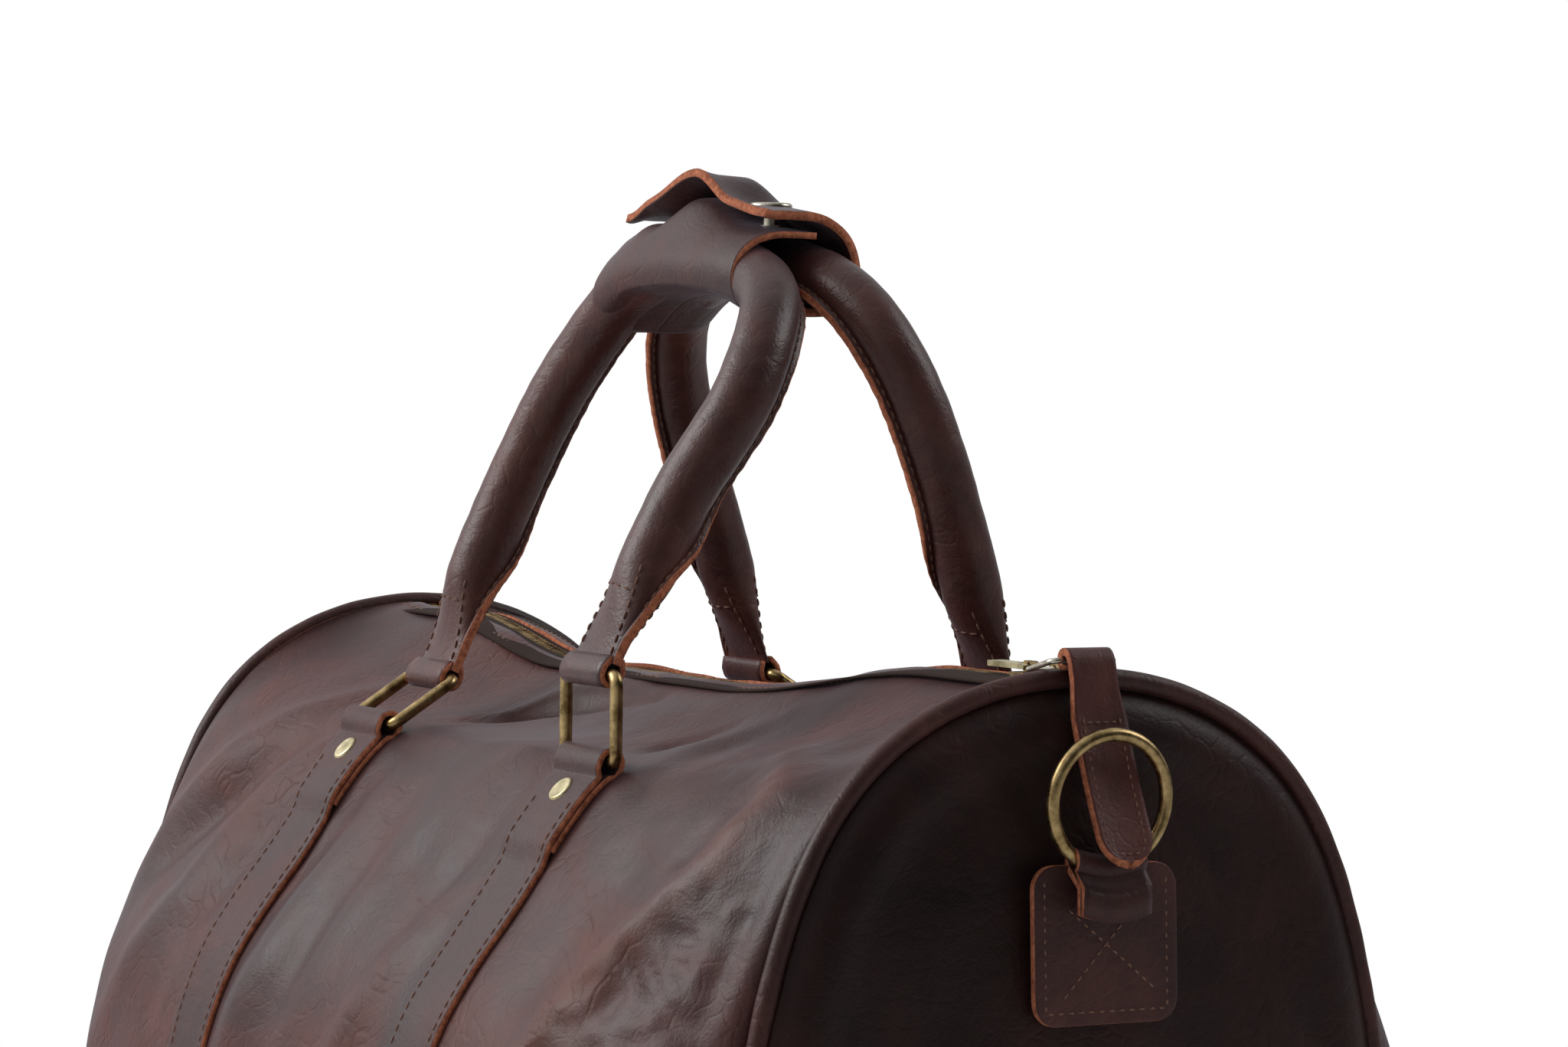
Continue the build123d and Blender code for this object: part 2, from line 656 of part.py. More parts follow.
with BuildPart() as wrap_sleeve:
    with BuildSketch(wrap_plane):
        with BuildLine() as sleeve_path:
            Line((snap_y + snap_socket_radius + 0.5, wrap_top), (front_y, wrap_top))
            ThreePointArc((front_y, wrap_top), on_arc(front_y, handle_top_z, 135),
                          on_arc(front_y, handle_top_z, 180))
            Line((front_y - wrap_half, handle_top_z), (front_y - wrap_half, wrap_turn_z))
            ThreePointArc((front_y - wrap_half, wrap_turn_z), on_arc(front_y, wrap_turn_z, 225),
                          (front_y, wrap_bottom))
            Line((front_y, wrap_bottom), (-hinge_gap, wrap_bottom))
        trace(line_width=leather)
    extrude(amount=wrap_length)

flap_leave = 50.0  # angle round the back handle at which the flap leaves it
leave_y, leave_z = on_arc(back_y, handle_top_z, flap_leave)
flat_start, flat_end = snap_y + snap_flat / 2, snap_y - snap_flat / 2
snap_xs = (wrap_centre_x - snap_spread, wrap_centre_x + snap_spread)

with BuildPart() as wrap_flap:
    with BuildSketch(wrap_plane):
        with BuildLine() as flap_path:
            Line((hinge_gap, wrap_bottom), (back_y, wrap_bottom))
            ThreePointArc((back_y, wrap_bottom), on_arc(back_y, wrap_turn_z, 315),
                          (back_y + wrap_half, wrap_turn_z))
            Line((back_y + wrap_half, wrap_turn_z), (back_y + wrap_half, handle_top_z))
            ThreePointArc((back_y + wrap_half, handle_top_z), on_arc(back_y, handle_top_z, flap_leave / 2),
                          (leave_y, leave_z))
            Spline((leave_y, leave_z), (flat_start, flat_z),
                   tangents=((-sin(radians(flap_leave)), cos(radians(flap_leave))), (-1, 0)),
                   tangent_scalars=(0.7, 0.7))
            Line((flat_start, flat_z), (flat_end, flat_z))
            Spline((flat_end, flat_z), (flap_lip_y, flat_z + flap_lip_lift),
                   tangents=((-1, 0), (-0.35, 0.94)), tangent_scalars=(0.8, 0.8))
        trace(line_width=leather)
    extrude(amount=wrap_length)
    with Locations(*[(x, snap_y, flat_z) for x in snap_xs]):
        Cylinder(snap_shank_radius + 0.1, 3 * leather, mode=Mode.SUBTRACT)

upwards, downwards = (Align.CENTER, Align.CENTER, Align.MIN), (Align.CENTER, Align.CENTER, Align.MAX)

with BuildPart() as snap_cap:
    with Locations(*[(x, snap_y, flat_z + leather / 2) for x in snap_xs]):
        Cylinder(snap_cap_radius, snap_cap_height, align=upwards)
        fillet(snap_cap.edges().group_by(Axis.Z)[-1], snap_cap_height * 0.8)
        Cylinder(snap_shank_radius, leather + 1.2, align=downwards)
    with Locations(*[(x, snap_y, flat_z - leather / 2) for x in snap_xs]):
        Cylinder(snap_socket_radius, 1.2, align=downwards)

with BuildPart() as snap_stud:
    with Locations(*[(x, snap_y, wrap_top + leather / 2) for x in snap_xs]):
        Cylinder(snap_socket_radius, 0.8, align=upwards)
        Cylinder(snap_post_radius, flap_lift - leather - 1.4, align=upwards)

# ---------------------------------------------------------------- written pieces
pieces = {
    "front_panel": front_panel, "back_panel": back_panel, "bottom_panel": bottom_panel,
    "end_panel_right": end_panel_right, "end_panel_left": end_panel_left,
    "piping_right": piping_right, "piping_left": piping_left,
    "lining": lining, "base_board": base_board, "feet": feet, "foot_washers": foot_washers,
    "strap_right": strap_right, "strap_left": strap_left,
    "strap_rivets": strap_rivets, "rivet_burrs": rivet_burrs,
    "zip_tape_front": zip_tape_front, "zip_tape_back": zip_tape_back,
    "zip_teeth_front": zip_teeth_front, "zip_teeth_back": zip_teeth_back, "zip_stops": zip_stops,
    "slider_a": slider_a, "slider_a_pull": slider_a_pull,
    "slider_b": slider_b, "slider_b_yoke": slider_b_yoke, "leather_pull": leather_pull,
    "ring_tab_right": ring_tab_right, "ring_tab_left": ring_tab_left,
    "o_ring_right": o_ring_right, "o_ring_left": o_ring_left,
    "ring_front_right": ring_front_right, "ring_front_left": ring_front_left,
    "ring_back_right": ring_back_right, "ring_back_left": ring_back_left,
    "handle_front": handle_front, "handle_core_front": handle_core_front,
    "handle_back": handle_back, "handle_core_back": handle_core_back,
    "wrap_sleeve": wrap_sleeve, "wrap_flap": wrap_flap,
    "snap_cap": snap_cap, "snap_stud": snap_stud,
}
for name, piece in pieces.items():
    piece.part.label = name
    export_step(piece.part, f"parts/{name}.step")

print("ring bars turn at y", round(ring_y, 2), "z", round(ring_z, 2))
print("round rings turn at x", round(o_ring_axis_x, 2), "z", tab_eye_z)
print("slider pulls turn at z", round(crown_z, 2), "and the leather pull at", yoke_end)
print("wrap flap turns at z", round(wrap_bottom, 2))
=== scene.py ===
"""Leather weekend duffel bag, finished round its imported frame.

The sections follow the bag as it is made up: the leather body, its ends and piping, the zip, the
straps with their rings, the rolled handles and their grip wrap, and the tabs with the round rings.
"""
from math import atan2, cos, exp, hypot, pi, radians, sin, sqrt

import bmesh
import bpy
import numpy as np
from mathutils import Matrix, Vector, noise


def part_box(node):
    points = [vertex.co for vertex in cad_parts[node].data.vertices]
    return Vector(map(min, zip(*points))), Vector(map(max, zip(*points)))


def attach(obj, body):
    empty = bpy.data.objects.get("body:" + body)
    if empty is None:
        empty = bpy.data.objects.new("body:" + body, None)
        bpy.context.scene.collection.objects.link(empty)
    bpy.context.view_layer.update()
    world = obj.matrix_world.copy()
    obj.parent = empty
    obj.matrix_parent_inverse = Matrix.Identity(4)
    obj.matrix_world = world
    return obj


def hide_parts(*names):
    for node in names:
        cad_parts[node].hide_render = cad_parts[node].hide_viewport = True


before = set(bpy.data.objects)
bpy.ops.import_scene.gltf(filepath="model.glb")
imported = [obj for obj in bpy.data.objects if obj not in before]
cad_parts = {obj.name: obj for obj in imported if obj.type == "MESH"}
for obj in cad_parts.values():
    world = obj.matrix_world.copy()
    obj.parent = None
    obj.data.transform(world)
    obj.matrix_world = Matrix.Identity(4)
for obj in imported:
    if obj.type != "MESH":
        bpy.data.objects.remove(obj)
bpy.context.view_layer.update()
mm = 0.001

# ---------------------------------------------------------------- camera
# A long lens at the height of the handles, looking along the bag from its zipped end.
turn, rise, roll_angle = radians(60.9), radians(1.81), radians(0.85)
camera_distance, camera_lens = 1.307, 106.8
looked_at = Vector((0.384, -0.182, 0.342))

away = Vector((sin(turn) * cos(rise), -cos(turn) * cos(rise), sin(rise)))
rightwards = Vector((0, 0, 1)).cross(away).normalized()
upwards = away.cross(rightwards)
camera_x = rightwards * cos(roll_angle) + upwards * sin(roll_angle)
camera_y = upwards * cos(roll_angle) - rightwards * sin(roll_angle)
bpy.ops.object.camera_add()
camera = bpy.context.object
camera.matrix_world = (Matrix.Translation(looked_at + away * camera_distance)
                       @ Matrix((camera_x, camera_y, away)).transposed().to_4x4())
camera.data.lens = camera_lens
camera.data.sensor_width = 36.0
camera.data.clip_end = 50.0
bpy.context.scene.camera = camera
bpy.context.scene.view_settings.view_transform = "Standard"

# ---------------------------------------------------------------- studio
# A white sweep with one large soft light in front and to the left, and a weak one above the back.
# The side beyond the zipped end is the dark side of the studio.


def add_node(tree, kind, settings=None, **inputs):
    """Adds a shader node. Inputs are values, or output sockets of other nodes, by socket name."""
    node = tree.nodes.new(kind)
    for name, value in (settings or {}).items():
        setattr(node, name, value)
    for name, value in inputs.items():
        socket = node.inputs[int(name[1:])] if name[0] == "_" else node.inputs[name.replace("_", " ")]
        if isinstance(value, bpy.types.NodeSocket):
            tree.links.new(value, socket)
        else:
            socket.default_value = value
    return node


def colour(red, green, blue):
    return (red, green, blue, 1.0)


studio = bpy.data.worlds.new("studio")
bpy.context.scene.world = studio
studio.use_nodes = True
sky = studio.node_tree
sky.nodes.clear()
bright_side = Vector((-0.82, -0.45, 0.35)).normalized()
direction = add_node(sky, "ShaderNodeTexCoord").outputs["Generated"]
towards = add_node(sky, "ShaderNodeVectorMath", {"operation": "DOT_PRODUCT"}, _0=direction, _1=bright_side)
side_light = add_node(sky, "ShaderNodeMapRange", {"interpolation_type": "SMOOTHSTEP"}, Value=towards.outputs["Value"],
                      From_Min=-0.75, From_Max=0.85, To_Min=0.03, To_Max=0.85)
path = add_node(sky, "ShaderNodeLightPath")
seen = add_node(sky, "ShaderNodeMath", {"operation": "MAXIMUM"}, _0=path.outputs["Is Camera Ray"],
                _1=path.outputs["Is Transmission Ray"])
shiny = add_node(sky, "ShaderNodeMix", {"data_type": "FLOAT"}, Factor=path.outputs["Is Glossy Ray"], _2=0.32,
                 _3=side_light.outputs["Result"])
strength = add_node(sky, "ShaderNodeMix", {"data_type": "FLOAT"}, Factor=seen.outputs[0], _2=shiny.outputs[0], _3=1.0)
backdrop = add_node(sky, "ShaderNodeBackground", Color=colour(1, 1, 1), Strength=strength.outputs[0])
tree_end = add_node(sky, "ShaderNodeOutputWorld", Surface=backdrop.outputs[0])


def soft_light(name, place, aim, width, height, power):
    bpy.ops.object.light_add(type="AREA", location=place)
    lamp = bpy.context.object
    lamp.name = name
    lamp.data.shape = "RECTANGLE"
    lamp.data.size, lamp.data.size_y = width, height
    lamp.data.energy = power
    lamp.rotation_euler = (Vector(place) - Vector(aim)).to_track_quat("Z", "Y").to_euler()


soft_light("key_light", (-0.9, -1.5, 1.35), (0, 0, 0.2), 1.5, 1.1, 30)
soft_light("back_light", (0.5, 1.3, 1.3), (0, 0, 0.3), 0.8, 0.8, 7)

bpy.ops.object.select_all(action="DESELECT")
bpy.ops.mesh.primitive_plane_add(size=12)
floor = bpy.context.object
floor.name = "floor"
floor_paint = bpy.data.materials.new("white_floor")
floor_paint.use_nodes = True
paint = floor_paint.node_tree
paint.nodes.clear()
matt = add_node(paint, "ShaderNodeBsdfDiffuse", Color=colour(0.82, 0.82, 0.82))
glow = add_node(paint, "ShaderNodeEmission", Color=colour(1, 1, 1), Strength=1.0)
place = add_node(paint, "ShaderNodeTexCoord").outputs["Object"]
reach = add_node(paint, "ShaderNodeVectorMath", {"operation": "LENGTH"}, _0=place)
far_out = add_node(paint, "ShaderNodeMapRange", {"interpolation_type": "SMOOTHSTEP"}, Value=reach.outputs["Value"],
                   From_Min=0.35, From_Max=0.95, To_Min=0.15, To_Max=1.0)
path = add_node(paint, "ShaderNodeLightPath")
seen = add_node(paint, "ShaderNodeMath", {"operation": "MAXIMUM"}, _0=path.outputs["Is Camera Ray"],
                _1=path.outputs["Is Transmission Ray"])
share = add_node(paint, "ShaderNodeMath", {"operation": "MULTIPLY"}, _0=seen.outputs[0], _1=far_out.outputs[0])
mixed = add_node(paint, "ShaderNodeMixShader", Fac=share.outputs[0], _1=matt.outputs[0], _2=glow.outputs[0])
tree_end = add_node(paint, "ShaderNodeOutputMaterial", Surface=mixed.outputs[0])
floor.data.materials.append(floor_paint)

# ---------------------------------------------------------------- leather, its raw edges and thread
# Oiled pull-up hide: dark red-brown, lighter and redder where it is pulled or rubbed, with a fine
# grain and a soft greyish bloom. Cut edges are left raw and show the tan core of the hide.


def leather_finish(name, deep, mid, warm, roughness=(0.42, 0.6), crease=0.5, bloom=0.12, shine=0.35):
    """A hide with three tones, mottled, worn along the attribute "wear", with grain and creases."""
    finish = bpy.data.materials.new(name)
    finish.use_nodes = True
    tree = finish.node_tree
    tree.nodes.clear()
    place = add_node(tree, "ShaderNodeTexCoord").outputs["Object"]
    clouds = add_node(tree, "ShaderNodeTexNoise", Vector=place, Scale=11.0, Detail=6.0, Roughness=0.62, Distortion=0.7)
    tones = add_node(tree, "ShaderNodeValToRGB", Fac=clouds.outputs["Fac"])
    ramp = tones.color_ramp
    ramp.elements[0].position, ramp.elements[0].color = 0.33, colour(*deep)
    ramp.elements[1].position, ramp.elements[1].color = 0.72, colour(*warm)
    middle = ramp.elements.new(0.52)
    middle.color = colour(*mid)
    rubs = add_node(tree, "ShaderNodeTexNoise", Vector=place, Scale=70.0, Detail=5.0, Roughness=0.7)
    rub_tone = add_node(tree, "ShaderNodeMapRange", Value=rubs.outputs["Fac"], From_Min=0.35, From_Max=0.75,
                        To_Min=0.8, To_Max=1.25)
    rubbed = add_node(tree, "ShaderNodeMix", {"data_type": "RGBA", "blend_type": "MULTIPLY"}, Factor=1.0,
                      _6=tones.outputs["Color"], _7=rub_tone.outputs["Result"])
    wear = add_node(tree, "ShaderNodeAttribute", {"attribute_name": "wear"})
    worn_share = add_node(tree, "ShaderNodeMath", {"operation": "MULTIPLY", "use_clamp": True},
                          _0=wear.outputs["Fac"], _1=rub_tone.outputs["Result"])
    worn = add_node(tree, "ShaderNodeMix", {"data_type": "RGBA"}, Factor=worn_share.outputs[0],
                    _6=rubbed.outputs[2], _7=colour(0.2, 0.062, 0.032))
    rough = add_node(tree, "ShaderNodeMapRange", Value=clouds.outputs["Fac"], From_Min=0.3, From_Max=0.7,
                     To_Min=roughness[0], To_Max=roughness[1])
    pebbles = add_node(tree, "ShaderNodeTexVoronoi", {"feature": "DISTANCE_TO_EDGE"}, Vector=place, Scale=620.0)
    pebble = add_node(tree, "ShaderNodeBump", Height=pebbles.outputs["Distance"], Strength=0.25, Distance=0.0004)
    bent = add_node(tree, "ShaderNodeTexNoise", Vector=place, Scale=26.0, Detail=3.0)
    bend = add_node(tree, "ShaderNodeVectorMath", {"operation": "MULTIPLY_ADD"}, _0=bent.outputs["Color"],
                    _1=(0.05, 0.05, 0.05), _2=place)
    creases = add_node(tree, "ShaderNodeTexVoronoi", {"feature": "DISTANCE_TO_EDGE"}, Vector=bend.outputs[0], Scale=95.0)
    crease_depth = add_node(tree, "ShaderNodeMapRange", Value=creases.outputs["Distance"], From_Min=0.0, From_Max=0.12)
    patches = add_node(tree, "ShaderNodeMapRange", Value=clouds.outputs["Fac"], From_Min=0.45, From_Max=0.7,
                       To_Min=0.1, To_Max=crease)
    creased = add_node(tree, "ShaderNodeBump", Height=crease_depth.outputs["Result"], Distance=0.0005,
                       Strength=patches.outputs["Result"], Normal=pebble.outputs["Normal"])
    dents = add_node(tree, "ShaderNodeBump", Height=rubs.outputs["Fac"], Strength=0.3, Distance=0.0015,
                     Normal=creased.outputs["Normal"])
    hide = add_node(tree, "ShaderNodeBsdfPrincipled", Base_Color=worn.outputs[2], Roughness=rough.outputs["Result"],
                    Specular_IOR_Level=shine, Sheen_Weight=bloom, Sheen_Roughness=0.45,
                    Sheen_Tint=colour(0.75, 0.68, 0.85), Normal=dents.outputs["Normal"])
    add_node(tree, "ShaderNodeOutputMaterial", Surface=hide.outputs[0])
    return finish


def rough_finish(name, dark, light, scale, depth, roughness=0.85):
    """A fibrous matt finish, for cut edges, thread and cloth."""
    finish = bpy.data.materials.new(name)
    finish.use_nodes = True
    tree = finish.node_tree
    tree.nodes.clear()
    place = add_node(tree, "ShaderNodeTexCoord").outputs["Object"]
    fibres = add_node(tree, "ShaderNodeTexNoise", Vector=place, Scale=scale, Detail=5.0, Roughness=0.7)
    tones = add_node(tree, "ShaderNodeValToRGB", Fac=fibres.outputs["Fac"])
    tones.color_ramp.elements[0].position, tones.color_ramp.elements[0].color = 0.3, colour(*dark)
    tones.color_ramp.elements[1].position, tones.color_ramp.elements[1].color = 0.7, colour(*light)
    raised = add_node(tree, "ShaderNodeBump", Height=fibres.outputs["Fac"], Strength=0.8, Distance=depth)
    cut = add_node(tree, "ShaderNodeBsdfPrincipled", Base_Color=tones.outputs["Color"], Roughness=roughness,
                   Specular_IOR_Level=0.25, Normal=raised.outputs["Normal"])
    add_node(tree, "ShaderNodeOutputMaterial", Surface=cut.outputs[0])
    return finish


body_hide = leather_finish("body_leather", (0.028, 0.0085, 0.0075), (0.058, 0.017, 0.014), (0.098, 0.028, 0.019))
# The ends and the base use a copy of the body's leather at well under half its brightness. This is painted shade for
# the sides that face away from the key light, not a darker hide.
shaded_end_hide = leather_finish("end_leather_painted_shade", (0.011, 0.0034, 0.003), (0.023, 0.0065, 0.0055), (0.044, 0.0115, 0.008),
                          bloom=0.02, shine=0.25)
strap_hide = leather_finish("strap_leather", (0.03, 0.009, 0.008), (0.055, 0.017, 0.014), (0.09, 0.026, 0.018),
                            crease=0.35)
handle_hide = leather_finish("handle_leather", (0.034, 0.009, 0.007), (0.066, 0.018, 0.013), (0.12, 0.033, 0.02),
                             roughness=(0.34, 0.5), crease=0.3, shine=0.45)
raw_edge = rough_finish("raw_leather_edge", (0.19, 0.055, 0.028), (0.66, 0.23, 0.12), 420.0, 0.0008)
thread = rough_finish("waxed_thread", (0.1, 0.045, 0.03), (0.26, 0.14, 0.1), 900.0, 0.0001, 0.6)

# ---------------------------------------------------------------- body
# Front, back and bottom are three pieces of soft hide. The body is plump in the middle, draws in
# late to its D-shaped ends, sags along the zip, and hangs in long soft folds from the straps.
foot_height, zip_height, leather = 5.0, 287.0, 2.0
dome_z = 146.0  # height of the middle of the ends
panel_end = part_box("front_panel")[1][0] / mm
slot_half = -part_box("front_panel")[1][1] / mm
bottom_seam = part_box("front_panel")[0][2] / mm
strap_x, strap_width = 92.0, 33.0
ring_y, ring_z = 94.71, 250.21
middle_shape = dict(base=105, belly=169, belly_z=110, shoulder=92, shoulder_z=246, low=15, high=10, roof=-2)
end_shape = dict(base=92, belly=127, belly_z=75, shoulder=83, shoulder_z=254, low=11.5, high=14, roof=10)
sections = {}


def smooth(value):
    """Eases a share from 0 to 1, and holds it there outside that range."""
    value = np.clip(value, 0, 1)
    return value * value * (3 - 2 * value)


def section_corners(x):
    """The points that the body's outline passes at x, from the back's base up to the zip."""
    puff = sqrt(max(0.0, 1 - min(1.0, abs(x) / panel_end) ** 6))
    shape = {key: end_shape[key] + (middle_shape[key] - end_shape[key]) * puff for key in end_shape}
    wide, high = shape["belly"] - shape["base"], shape["belly_z"] - foot_height
    corners = [(shape["base"], foot_height)]
    for angle in (pi / 6, pi / 3, pi / 2):
        corners.append((shape["base"] + wide * sin(angle), shape["belly_z"] - high * cos(angle)))
    in_y, up_z = shape["shoulder"] - shape["belly"], shape["shoulder_z"] - shape["belly_z"]
    slope = hypot(in_y, up_z)
    for step, bulge in ((1 / 3, shape["low"]), (2 / 3, shape["high"])):
        corners.append((shape["belly"] + in_y * step + bulge * up_z / slope,
                        shape["belly_z"] + up_z * step - bulge * in_y / slope))
    corners.append((shape["shoulder"], shape["shoulder_z"]))
    corners.append((shape["shoulder"] / 2, (shape["shoulder_z"] + zip_height) / 2 + shape["roof"]))
    corners.append((0.0, zip_height))
    return corners


def section(x):
    """The half outline at x as evenly spaced points (y, z), from the zip down to the base's middle."""
    if x not in sections:
        right = section_corners(x)
        corners = np.array(right + [(-y, z) for y, z in reversed(right[:-1])], float)
        steps = np.hypot(*np.diff(corners, axis=0).T)
        count = len(corners)
        matrix, known = np.zeros((count, count)), np.zeros((count, 2))
        matrix[0, 0] = matrix[-1, -1] = 1
        known[0] = known[-1] = (0.5, 0)
        for i in range(1, count - 1):
            before, after = 1 / steps[i - 1], 1 / steps[i]
            matrix[i, i - 1:i + 2] = before, 2 * (before + after), after
            known[i] = 3 * ((corners[i] - corners[i - 1]) * before**2 + (corners[i + 1] - corners[i]) * after**2)
        slopes = np.linalg.solve(matrix, known)
        run = [np.array([[0.0, foot_height]])]
        for i in range(len(right) - 1):
            t = np.linspace(0, 1, 24, endpoint=False)[:, None]
            run.append((2 * t**3 - 3 * t**2 + 1) * corners[i] + (t**3 - 2 * t**2 + t) * steps[i] * slopes[i]
                       + (3 * t**2 - 2 * t**3) * corners[i + 1] + (t**3 - t**2) * steps[i] * slopes[i + 1])
        run.append(np.array([corners[len(right) - 1]]))
        run = np.concatenate(run)[::-1]
        along = np.concatenate([[0], np.cumsum(np.hypot(*np.diff(run, axis=0).T))])
        even = np.linspace(0, along[-1], 500)
        sections[x] = np.stack([np.interp(even, along, run[:, 0]), np.interp(even, along, run[:, 1])], 1), along[-1]
    return sections[x]


# Folds that the hide hangs in: places that each passes (x, y, z), its half-width, and its height
front_folds = (
    (((-158, -66, 259), (-179, -102, 237), (-197, -113, 222), (-214, -123, 204), (-224, -120, 160)), 13, 5.5),
    (((-118, -92, 249), (-157, -108, 235), (-178, -122, 212), (-198, -131, 185), (-215, -135, 140)), 10, -5.0),
    (((-123, -100, 239), (-146, -128, 206), (-150, -145, 180), (-175, -156, 150), (-205, -160, 110)), 13, 5.0),
    (((-112, -106, 230), (-122, -140, 186), (-140, -158, 140)), 9, -3.0),
    (((-41, -114, 226), (-51, -137, 191), (-48, -153, 168), (-64, -166, 130), (-78, -168, 80)), 14, 4.5),
    (((-62, -110, 230), (-70, -140, 190), (-75, -160, 140)), 10, -2.5),
    (((-20, -112, 228), (-24, -150, 172), (-34, -168, 120)), 11, -3.0),
    (((30, -98, 244), (8, -116, 226), (-6, -140, 190), (-18, -162, 140)), 12, 2.5),
    (((62, -128, 204), (44, -150, 174), (36, -160, 150), (20, -170, 110)), 10, 3.5),
    (((60, -100, 240), (46, -128, 204), (30, -150, 172)), 9, -2.5),
    (((-84, -86, 252), (-79, -62, 259), (-51, -39, 268), (7, -24, 278)), 5, -4.5),
    (((-90, -72, 262), (-60, -30, 276), (-20, -14, 282)), 9, 3.0),
    (((84, -80, 254), (74, -56, 262), (90, -38, 270)), 4.5, -4.5),
    (((108, -84, 254), (104, -58, 264), (120, -36, 272)), 13, 5.0),
    (((190, -70, 262), (222, -92, 246), (214, -110, 226), (198, -122, 208), (184, -138, 186), (168, -152, 160),
      (150, -160, 130)), 11, 6.5),
    (((246, -84, 250), (243, -112, 212), (240, -122, 185), (238, -128, 150), (236, -128, 100)), 10, -4.0),
    (((150, -104, 236), (160, -118, 216), (150, -140, 186), (136, -156, 150)), 16, -3.0),
    (((205, -140, 160), (220, -138, 150), (240, -130, 152)), 4, -2.0),
    (((196, -146, 146), (215, -142, 138), (238, -132, 140)), 4.5, 2.0),
)
back_folds = (
    (((150, 70, 258), (175, 104, 236), (196, 120, 210), (214, 124, 170)), 13, 5.0),
    (((120, 96, 246), (150, 124, 212), (172, 140, 176), (196, 140, 130)), 11, -4.0),
    (((30, 100, 242), (12, 128, 206), (4, 150, 172), (-12, 164, 120)), 14, 4.0),
    (((-40, 104, 238), (-58, 132, 200), (-66, 154, 160)), 12, -3.5),
    (((-120, 98, 244), (-146, 126, 206), (-168, 144, 168), (-196, 150, 120)), 13, 4.5),
    (((-236, 110, 215), (-238, 124, 180), (-236, 130, 120)), 10, -4.0),
    (((84, 84, 253), (70, 56, 263), (58, 36, 272)), 5, -3.5),
)
worn_ridge = front_folds[14][0]


def distance_to(points, line):
    """How far each point is from a line of straight runs, and the share of the line where it is nearest."""
    best, share = np.full(len(points), 1e9), np.zeros(len(points))
    line = np.array(line, float)
    for i, (start, end) in enumerate(zip(line[:-1], line[1:])):
        run = end - start
        at = np.clip((points - start) @ run / (run @ run), 0, 1)
        gap = np.linalg.norm(points - start - at[:, None] * run, axis=1)
        nearer = gap < best
        best[nearer], share[nearer] = gap[nearer], (i + at[nearer]) / (len(line) - 1)
    return best, share


def cloud(points, size, seed):
    """Smooth noise from -1 to 1 with features of that size."""
    return np.array([noise.noise(Vector(p) / size + Vector((seed, 2 * seed, 3 * seed))) for p in points])


def billow(points):
    """How far the soft hide stands out of its plain shape, in millimetres, at each point."""
    x, y, z = points.T
    out = 2.2 * cloud(points * (1, 1, 0.6), 70, 3) + 0.9 * cloud(points, 26, 7)
    for line, half_width, height in front_folds + back_folds:
        gap, share = distance_to(points, line)
        out += height * np.exp(-(gap / half_width) ** 2) * (0.35 + 0.65 * np.sin(pi * np.clip(share, 0.06, 0.94)))
    wrinkled = np.exp(-((x - 205) / 45) ** 2 - ((z - 165) / 70) ** 2) * (y < 0)
    ripples = np.abs(cloud(points * (1, 1, 1.8), 17, 11))
    out += wrinkled * (1.3 - 4.2 * ripples)
    off_strap = np.abs(np.abs(x) - strap_x)
    out *= 0.45 + 0.55 * smooth((off_strap - 8) / 30)
    for side_x in (-strap_x, strap_x):
        for side_y in (-ring_y, ring_y):
            near = np.linalg.norm(points - (side_x, side_y, ring_z), axis=1)
            out *= smooth((near - 14) / 26)
    out *= smooth((z - 8) / 45)
    return out * smooth((panel_end - np.abs(x)) / 16) - 1.6 * np.exp(-((z - bottom_seam) / 3.2) ** 2)


def sag(x):
    """How far the zip line hangs below its ends, in millimetres."""
    return 15.0 * smooth((190 - x) / 150) * smooth((x + 205) / 110)


def outward_normals(grid):
    """The normal at each point of a grid on the body, pointing away from the bag's middle line."""
    normal = np.cross(np.gradient(grid, axis=0), np.gradient(grid, axis=1))
    normal /= np.maximum(np.linalg.norm(normal, axis=2, keepdims=True), 1e-9)
    inside_out = ((grid - (0, 0, dome_z)) * (0, 1, 1) * normal).sum() < 0
    return -normal if inside_out else normal


def skin(xs, side, shares, lift=0.0, loose=1.0):
    """Grid of points on the hide's outer face, in millimetres; side is -1 in front and 1 behind.

    shares run from 0 at the zip to 1 at the middle of the base. lift is outwards from the face.
    """
    grid = np.zeros((len(xs), len(shares), 3))
    for i, x in enumerate(xs):
        outline, length = section(float(x))
        at = np.asarray(shares) * (len(outline) - 1)
        index = np.arange(len(outline))
        grid[i] = np.stack([np.full(len(shares), x), side * np.interp(at, index, outline[:, 0]),
                            np.interp(at, index, outline[:, 1])], 1)
    normals = outward_normals(grid)
    flat = grid.reshape(-1, 3)
    out = billow(flat).reshape(grid.shape[:2]) * loose
    roof = np.clip(1 - (np.abs(grid[..., 1]) / 88) ** 2, 0, 1) * (grid[..., 2] > 200)
    shaped = grid + normals * out[..., None]
    shaped[..., 2] -= sag(grid[..., 0]) * roof
    if lift:
        shaped += outward_normals(shaped) * lift
    return shaped


